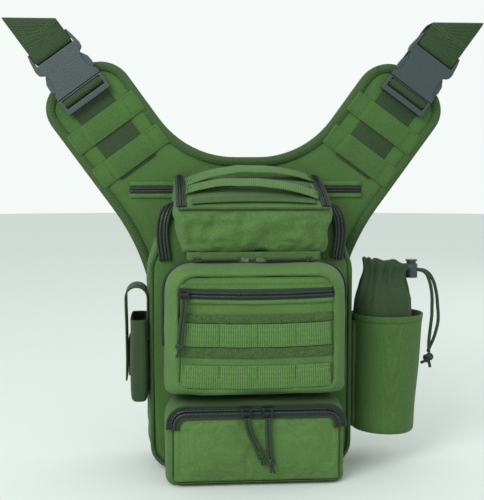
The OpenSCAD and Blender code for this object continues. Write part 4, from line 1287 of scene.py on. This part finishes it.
class SLINGBAG_OT_bottom_pocket(bpy.types.Operator):
    """Make the bottom pocket, the padded door on its front, and both halves of its zip"""
    bl_idname = "sling_bag.bottom_pocket"
    bl_label = "Bottom pocket"

    def execute(self, context):
        low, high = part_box("bottom_pocket")
        lo, hi = low / MM, high / MM
        shell = bmesh.new()
        loops = []
        for depth, grow in ((hi.y, -2), (hi.y - 3, -0.6), (hi.y - 12, 0.2), (hi.y - 25, 0.7), (hi.y - 38, 0.9),
                            (hi.y - 50, -0.2), (lo.y + 6, -1.8), (lo.y + 2, -3.4), (lo.y + 0.2, -5.4), (lo.y, -7.0),
                            (lo.y + 1.6, -8.4), (lo.y + 1.8, -12)):
            loops.append(round_rect(hi.x + grow, lo.z + max(0.2, -grow * 0.6), hi.z + grow, 18, 6, depth))
        loft(shell, loops, caps=(True, False))
        case = piece("bottom_pocket_shell", shell, "bag", ["side"], ("bottom_pocket",))
        crumple(case, 1.6 * MM, (0.04, 0.02, 0.05), 6.1, lambda co: 1.0 if -0.078 < co.y < -0.024 and co.z > 0.012 else 0.0)
        thicken(case, 1.6 * MM)
        soften(case)

        flap_low, flap_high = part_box("bottom_flap")
        half = flap_high.x / MM - 1
        z0, z1 = flap_low.z / MM + 0.5, flap_high.z / MM - 0.5
        face_y = flap_low.y / MM + 1.0
        door = bmesh.new()
        rear = round_rect(half, z0, z1, 14, 3, flap_high.y / MM)
        front = round_rect(half - 1.5, z0 + 1, z1 - 1.5, 13, 3, face_y)
        loft(door, [rear, front])
        pad = piece("bottom_door_pad", door, "bottom_door", ["cloth"], ("bottom_flap",))
        remesh(pad, 2.4 * MM)
        edge = round_rect(half, z0, z1, 14, 3, (face_y + flap_high.y / MM) / 2)[::3]
        swell(pad, 4.0, 5.5 * MM, sewn_along(list(zip(edge, edge[1:] + edge[:1])), 7 * MM), growth=0.02)
        crumple(pad, 1.6 * MM, (0.045, 0.03, 0.03), 8.8, lambda co: 1.0 if co.y < -0.086 else 0.0)
        for vert in pad.data.vertices:
            vert.co.y = min(vert.co.y, flap_high.y)
        soften(pad)

        zip_low = 61
        for name, body, grow, depth, toward, node in (
                ("outer", "bag", 3.4, lo.y - 1.2, 1, "bottom_zip_outer"),
                ("inner", "bottom_door", -4.0, flap_low.y / MM + 0.2, -1, "bottom_zip_inner")):
            arc = [p for p in round_rect(half + 1 + grow, z0, z1 + grow, 14 + grow, 6, depth) if p.z > zip_low * MM]
            line = paced(arc, 5 * MM)
            places = track(line, FRONT)
            flip = 1 if places[0].col[0].x > 0 else -1
            zipper = bmesh.new()
            sweep(zipper, band(7.2 * MM, 1.2 * MM), places)
            coil(zipper, places, 2.0 * MM, -toward * flip * 2.4 * MM, phase=(toward + 1) // 2)
            edge = [place @ Vector((toward * flip * 2.6 * MM, 0.9 * MM, 0)) for place in places]
            sweep(zipper, rod(1.3 * MM, 6), track(edge, FRONT), material=0)
            piece(f"bottom_zip_{name}_half", zipper, body, ["tape", "coil"], (node,))

        bridge = bmesh.new()
        for vert in bmesh.ops.create_grid(bridge, x_segments=24, y_segments=6, size=1.0)["verts"]:
            share = (vert.co.y + 1) / 2
            vert.co = Vector((vert.co.x * 86 * MM, low.y + 5 * MM - 9.6 * MM * share, 1.4 * MM + 3 * MM * share))
        join = piece("bottom_hinge_cloth", bridge, None, ["side"])
        thicken(join, 0.8 * MM)
        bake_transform(join)
        for side in ("left", "right"):
            finish_node(f"bottom_slider_{side}", "dark_slider", 0.5 * MM)
        return {"FINISHED"}


# ---- Bottle holder ------------------------------------------------------------------------------


class SLINGBAG_OT_bottle_holder(bpy.types.Operator):
    """Make the bottle holder, its gathered drawcord liner and the cord lock"""
    bl_idname = "sling_bag.bottle_holder"
    bl_label = "Bottle holder"

    def execute(self, context):
        low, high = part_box("bottle_liner")
        axis = (low + high) / 2
        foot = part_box("bottle_holder")[0].z + 1 * MM
        tall, lean = 138 * MM, math.radians(2.2)
        tilt = Matrix.Translation((axis.x, axis.y, foot)) @ Matrix.Rotation(lean, 4, "Y")
        around = 72

        cup = bmesh.new()
        loops, marks = [], []
        stations = [(0.0, 5), (0.0, 20), (0.0, 31), (0.4, 35.6), (2.5, 37.2), (7, 37.8)]
        stations += [(h, 37.2 + 4.6 * h / 138) for h in range(14, 130, 7)]
        stations += [(132, 41.9), (135.5, 42.3), (137.6, 42.2), (138, 41.4), (137.0, 40.7), (130, 40.3)]
        for h, r in stations:
            loop = []
            for k in range(around):
                a = 2 * math.pi * k / around
                body_side = max(0.0, -math.cos(a)) ** 4
                sag = 1.1 * noise.noise(Vector((math.cos(a) * 1.3, math.sin(a) * 1.3, h / 60))) * min(1, h / 30)
                rim_dip = 1.6 * math.cos(a) if h > 125 else 0.0
                reach = (r + sag - 0.8 * body_side) * MM
                loop.append(tilt @ Vector((reach * math.cos(a), reach * math.sin(a), (h + rim_dip) * MM)))
            loops.append(loop)
        loft(cup, loops, caps=(True, False))
        holder = piece("bottle_holder_cup", cup, "bag", ["side"], ("bottle_holder",))
        soften(holder)
        wall = thicken(holder, 1.6 * MM)
        wall.offset = -1.0

        tab = bmesh.new()
        holder_low, holder_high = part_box("bottle_holder")
        line = paced([Vector((holder_low.x + 5 * MM, axis.y, z)) for z in (holder_low.z + 7 * MM, holder_high.z - 9 * MM)], 6 * MM)
        sweep(tab, band(12 * MM, 26 * MM), track(line, BACK))
        bmesh.ops.transform(tab, matrix=Matrix.Identity(4), verts=tab.verts)
        piece("bottle_holder_seam", tab, "bag", ["side"])

        liner = bmesh.new()
        loops = []
        heights = [(146, 34.2), (156, 34.4), (166, 34.4), (174, 34.2), (182, 33.6), (189, 32.6), (196, 31.2),
                   (202, 29.6), (207, 28.0), (212, 26.4), (216, 25.2), (219.5, 24.4), (222.5, 24.2), (225.5, 24.9),
                   (229, 26.2), (232, 27.2), (234.5, 27.4), (234.2, 25.6), (230, 22.6), (225, 20.6), (219, 20.2),
                   (211, 21.4)]
        for z, r in heights:
            gathered = max(0.0, min(1.0, (z - 172) / 40))
            loop = []
            for k in range(132):
                a = 2 * math.pi * k / 132
                c, s = math.cos(a), math.sin(a)
                drift = noise.noise(Vector((c * 1.5, s * 1.5, z / 34)))
                pleat = 1.9 * math.sin(12 * a + 3.5 * drift) + 1.2 * math.sin(21 * a + 6 * drift + z / 30)
                bulge = 2.4 * noise.noise(Vector((c * 1.4, s * 1.4, z / 17))) + 1.1 * noise.noise(Vector((c * 4, s * 4, z / 9)))
                reach = r + gathered ** 1.4 * pleat + bulge * min(1.0, max(0.0, (z - 160) / 14)) * (1 - 0.5 * gathered)
                lip = 0.0
                if z > 219:
                    lip = (5.0 * max(0.0, -math.cos(a - 0.3)) ** 1.5 - 4.0 * max(0.0, c) ** 2
                           + 1.5 * math.sin(7 * a + 1)) * (z - 219) / 15
                shift = 3.2 * max(0.0, (z - 185) / 40)
                x, y = axis.x / MM + reach * c + shift, reach * s
                if z > 200:
                    # The cord lock pulls in against the cloth here
                    x = min(x, 177.5 + max(0.0, abs(y) - 9) * 1.5)
                loop.append(mm(x, axis.y / MM + y, z + lip))
            loops.append(loop)
        loft(liner, loops, caps=(False, False))
        sack = piece("bottle_liner_gather", liner, "bag", ["liner"], ("bottle_liner",))
        thicken(sack, 0.7 * MM)
        soften(sack)
        finish_node("cord_lock", "buckle", 0.6 * MM)
        finish_node("cord_lock_button", "buckle", 0.5 * MM)
        return {"FINISHED"}


# ---- Phone pouch --------------------------------------------------------------------------------


class SLINGBAG_OT_phone_pouch(bpy.types.Operator):
    """Make the phone pouch, the strap that arches over its mouth, and the hook patch"""
    bl_idname = "sling_bag.phone_pouch"
    bl_label = "Phone pouch"

    def execute(self, context):
        inner, outer = -117.6, -137.0
        front, rear, foot, top = -31.0, 43.0, 80.0, 174.0
        shell = bmesh.new()
        mid_x, mid_y = (inner + outer) / 2, (front + rear) / 2
        half_x, half_y = (inner - outer) / 2, (rear - front) / 2
        loops = []
        for z, grow in ((foot + 0.5, -8), (foot, -4), (foot + 1.5, -1.2), (foot + 5, -0.2), (foot + 16, 0.3), (foot + 30, 0.6),
                        (foot + 45, 0.6), (foot + 60, 0.3), (foot + 75, -0.1), (foot + 86, -0.3), (top - 3, 0.0), (top, 0.2),
                        (top, -1.2), (top - 4, -1.8)):
            loop = []
            for k in range(56):
                a = 2 * math.pi * k / 56
                c, s = math.cos(a), math.sin(a)
                x = math.copysign(abs(c) ** 0.45, c) * (half_x + min(grow, 0.6))
                y = math.copysign(abs(s) ** 0.25, s) * (half_y + grow)
                x += 0.5 * noise.noise(Vector((s * 2, z / 25, 3)))
                loop.append(mm(mid_x + x, mid_y + y, z))
            loops.append(loop)
        loft(shell, loops, caps=(True, False))
        pouch = piece("phone_pouch_shell", shell, "bag", ["liner"], ("phone_pouch",))
        thicken(pouch, 1.5 * MM)
        soften(pouch)

        arch_mid, arch_r = mm(-130, 6, 197), 12.4
        strap = bmesh.new()
        run = [mm(-117.3, 6, 150), mm(-117.4, 6, 172), mm(-117.5, 6, 186)]
        for degrees in range(0, 181, 12):
            a = math.radians(degrees)
            run.append(arch_mid + mm(arch_r * math.cos(a), 0, arch_r * math.sin(a)))
        run += [mm(-142.2, 6, 182), mm(-141.8, 6, 168), mm(-141.6, 6, 150), mm(-141.3, 6, 128), mm(-141.8, 6, 103)]
        line = flowing(run, 3 * MM)
        places = track(line, lambda t: FRONT)
        turned = []
        for place, ahead, behind in zip(places, line[1:] + line[-1:], line[:1] + line[:-1]):
            forward = (ahead - behind).normalized()
            turn = Matrix((BACK, forward.cross(BACK), forward)).transposed().to_4x4()
            turned.append(Matrix.Translation(place.translation) @ turn)
        sweep(strap, band(50 * MM, 1.9 * MM), turned)
        arch = piece("phone_strap", strap, None, ["strap"], ("phone_flap",))
        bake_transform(arch)

        hook_low, hook_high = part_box("phone_flap_hook")
        patch_shape = bmesh.new()
        centre = (hook_low + hook_high) / 2
        line = paced([Vector((centre.x, centre.y, z)) for z in (hook_low.z, hook_high.z)], 6 * MM)
        sweep(patch_shape, band(hook_high.y - hook_low.y, 1.5 * MM), track(line, Vector((-1, 0, 0))))
        piece("phone_hook_patch", patch_shape, "bag", ["hook"], ("phone_flap_hook",))
        return {"FINISHED"}


# ---- Buckles and shoulder strap -----------------------------------------------------------------


class SLINGBAG_OT_buckles(bpy.types.Operator):
    """Finish the side-release buckles: sockets, plugs and prongs"""
    bl_idname = "sling_bag.buckles"
    bl_label = "Buckles"

    def execute(self, context):
        for name, _ in SIDES:
            finish_node(f"female_buckle_{name}", "buckle", 1.2 * MM)
            finish_node(f"male_buckle_{name}", "buckle", 0.9 * MM)
            for place in ("outer", "inner"):
                finish_node(f"prong_{name}_{place}", "buckle", 0.8 * MM)
        return {"FINISHED"}


class SLINGBAG_OT_shoulder_strap(bpy.types.Operator):
    """Make the strap webbing on both sides, the shoulder pad and its webbing guides"""
    bl_idname = "sling_bag.shoulder_strap"
    bl_label = "Shoulder strap"

    def execute(self, context):
        for name, side in SIDES:
            shape = bmesh.new()
            # Sewn end, round the socket's end bar, up the front, over the fold and down behind
            run = [(39.7, 74), (39.8, 62), (41.4, 55), (44.6, 50), (46.3, 45), (46.2, 36), (44.8, 31.6), (42, 30.2),
                   (39.2, 31.2), (38.0, 34.5), (38.0, 44), (38.0, 58), (38.0, 70), (38.8, 76.5), (42.5, 79.2), (56, 79.6),
                   (70, 79.2), (74, 76.5), (75.0, 70), (75.1, 40), (75.1, 0), (75.1, -40), (75.1, -80), (75.1, -112)]
            line = flowing([Vector((0, y, z)) * MM for y, z in run], 4 * MM)
            places = []
            for i, spot in enumerate(line):
                forward = (line[min(i + 1, len(line) - 1)] - line[max(i - 1, 0)]).normalized()
                level = max(0.0, min(1.0, (spot.z / MM - 46) / 26))
                across = (ARM_OUT - ARM_ALONG * (ARM_LEAN * level))
                ahead = BACK * forward.y + ARM_ALONG * forward.z
                lift = ahead.cross(ARM_OUT).normalized()
                centre = ARM_TIP + BACK * spot.y + ARM_ALONG * spot.z
                place = Matrix((across, lift, ahead)).transposed().to_4x4()
                place.translation = centre
                if side < 0:
                    place = Matrix.Diagonal((-1, 1, 1, 1)) @ place
                places.append(place)
            sweep(shape, band(50 * MM, 1.4 * MM), places)
            bmesh.ops.recalc_face_normals(shape, faces=shape.faces)
            for z in (58, 61):
                row = [on_arm(side, x, 37.2, z) for x in (-23, 23)]
                stitch_row(shape, row, FRONT, 3.0 * MM, material=1)
            piece(f"strap_webbing_{name}", shape, f"strap_end_{name}", ["strap", "webbing"],
                  (f"strap_web_{name}",))

        pad_line = outline("strap_pad", BACK)
        low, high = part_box("strap_pad")
        rim = paced(pad_line, 6 * MM, True)
        pad = bmesh.new()
        loft(pad, [[Vector((p.x, low.y + 1.2 * MM, p.z)) for p in rim], [Vector((p.x, high.y - 1.8 * MM, p.z)) for p in rim]])
        shoulder = piece("shoulder_pad", pad, "bag", ["cloth"], ("strap_pad",))
        remesh(shoulder, 4.5 * MM)
        middle = (low.y + high.y) / 2
        seam = [Vector((p.x, middle, p.z)) for p in rim[::3]]
        swell(shoulder, 4.0, 4 * MM, sewn_along(list(zip(seam, seam[1:] + seam[:1])), 8 * MM))
        crumple(shoulder, 0.8 * MM, (0.03, 0.03, 0.03), 3.3)
        for vert in shoulder.data.vertices:
            vert.co.y = min(max(vert.co.y, low.y + 0.3 * MM), high.y - 0.2 * MM)
        soften(shoulder)
        hem = bmesh.new()
        line = [Vector((p.x, middle, p.z)) for p in rim]
        places = track(line, BACK, True)
        flip = 1 if places[0].col[0].to_3d().dot(line[0] - Vector((0, middle, 0.33))) > 0 else -1
        lip = [(-7, 4.4), (0.0, 4.6), (1.4, 3.2), (1.4, -3.2), (0.0, -4.6), (-7, -4.4), (-7, -3.9), (-0.4, -3.9),
               (0.6, -2.9), (0.6, 2.9), (-0.4, 3.9), (-7, 3.9)]
        sweep(hem, [(x * MM * flip, y * MM) for x, y in lip], places, closed=True)
        piece("shoulder_pad_binding", hem, "bag", ["binding"])
        finish_node("strap_glides", "buckle", 0.7 * MM)
        return {"FINISHED"}


# ---- Add-on -------------------------------------------------------------------------------------

STEPS = (SLINGBAG_OT_stage, SLINGBAG_OT_cords, SLINGBAG_OT_harness_panel, SLINGBAG_OT_arm_webbing,
         SLINGBAG_OT_main_compartment, SLINGBAG_OT_hood, SLINGBAG_OT_front_pocket, SLINGBAG_OT_bottom_pocket,
         SLINGBAG_OT_bottle_holder, SLINGBAG_OT_phone_pouch, SLINGBAG_OT_buckles, SLINGBAG_OT_shoulder_strap)


class SLINGBAG_PT_sidebar(bpy.types.Panel):
    """Lists the bag's settings and its making steps in order"""
    bl_idname = "SLINGBAG_PT_sidebar"
    bl_label = "Sling Bag"
    bl_space_type = "VIEW_3D"
    bl_region_type = "UI"
    bl_category = "Sling Bag"

    def draw(self, context):
        for group in (context.scene.sling_bag_cloth, context.scene.sling_bag_hardware, context.scene.sling_bag_stage):
            box = self.layout.box()
            for name in group.__annotations__:
                box.prop(group, name)
        for step in STEPS:
            self.layout.operator(step.bl_idname)


CLASSES = (SlingBagCloth, SlingBagHardware, SlingBagStage, *STEPS, SLINGBAG_PT_sidebar)


def register():
    for item in CLASSES:
        bpy.utils.register_class(item)
    bpy.types.Scene.sling_bag_cloth = PointerProperty(type=SlingBagCloth)
    bpy.types.Scene.sling_bag_hardware = PointerProperty(type=SlingBagHardware)
    bpy.types.Scene.sling_bag_stage = PointerProperty(type=SlingBagStage)


def unregister():
    del bpy.types.Scene.sling_bag_stage
    del bpy.types.Scene.sling_bag_hardware
    del bpy.types.Scene.sling_bag_cloth
    for item in reversed(CLASSES):
        bpy.utils.unregister_class(item)


def main():
    register()
    for step in STEPS:
        group, name = step.bl_idname.split(".")
        getattr(getattr(bpy.ops, group), name)()


if __name__ == "__main__":
    main()
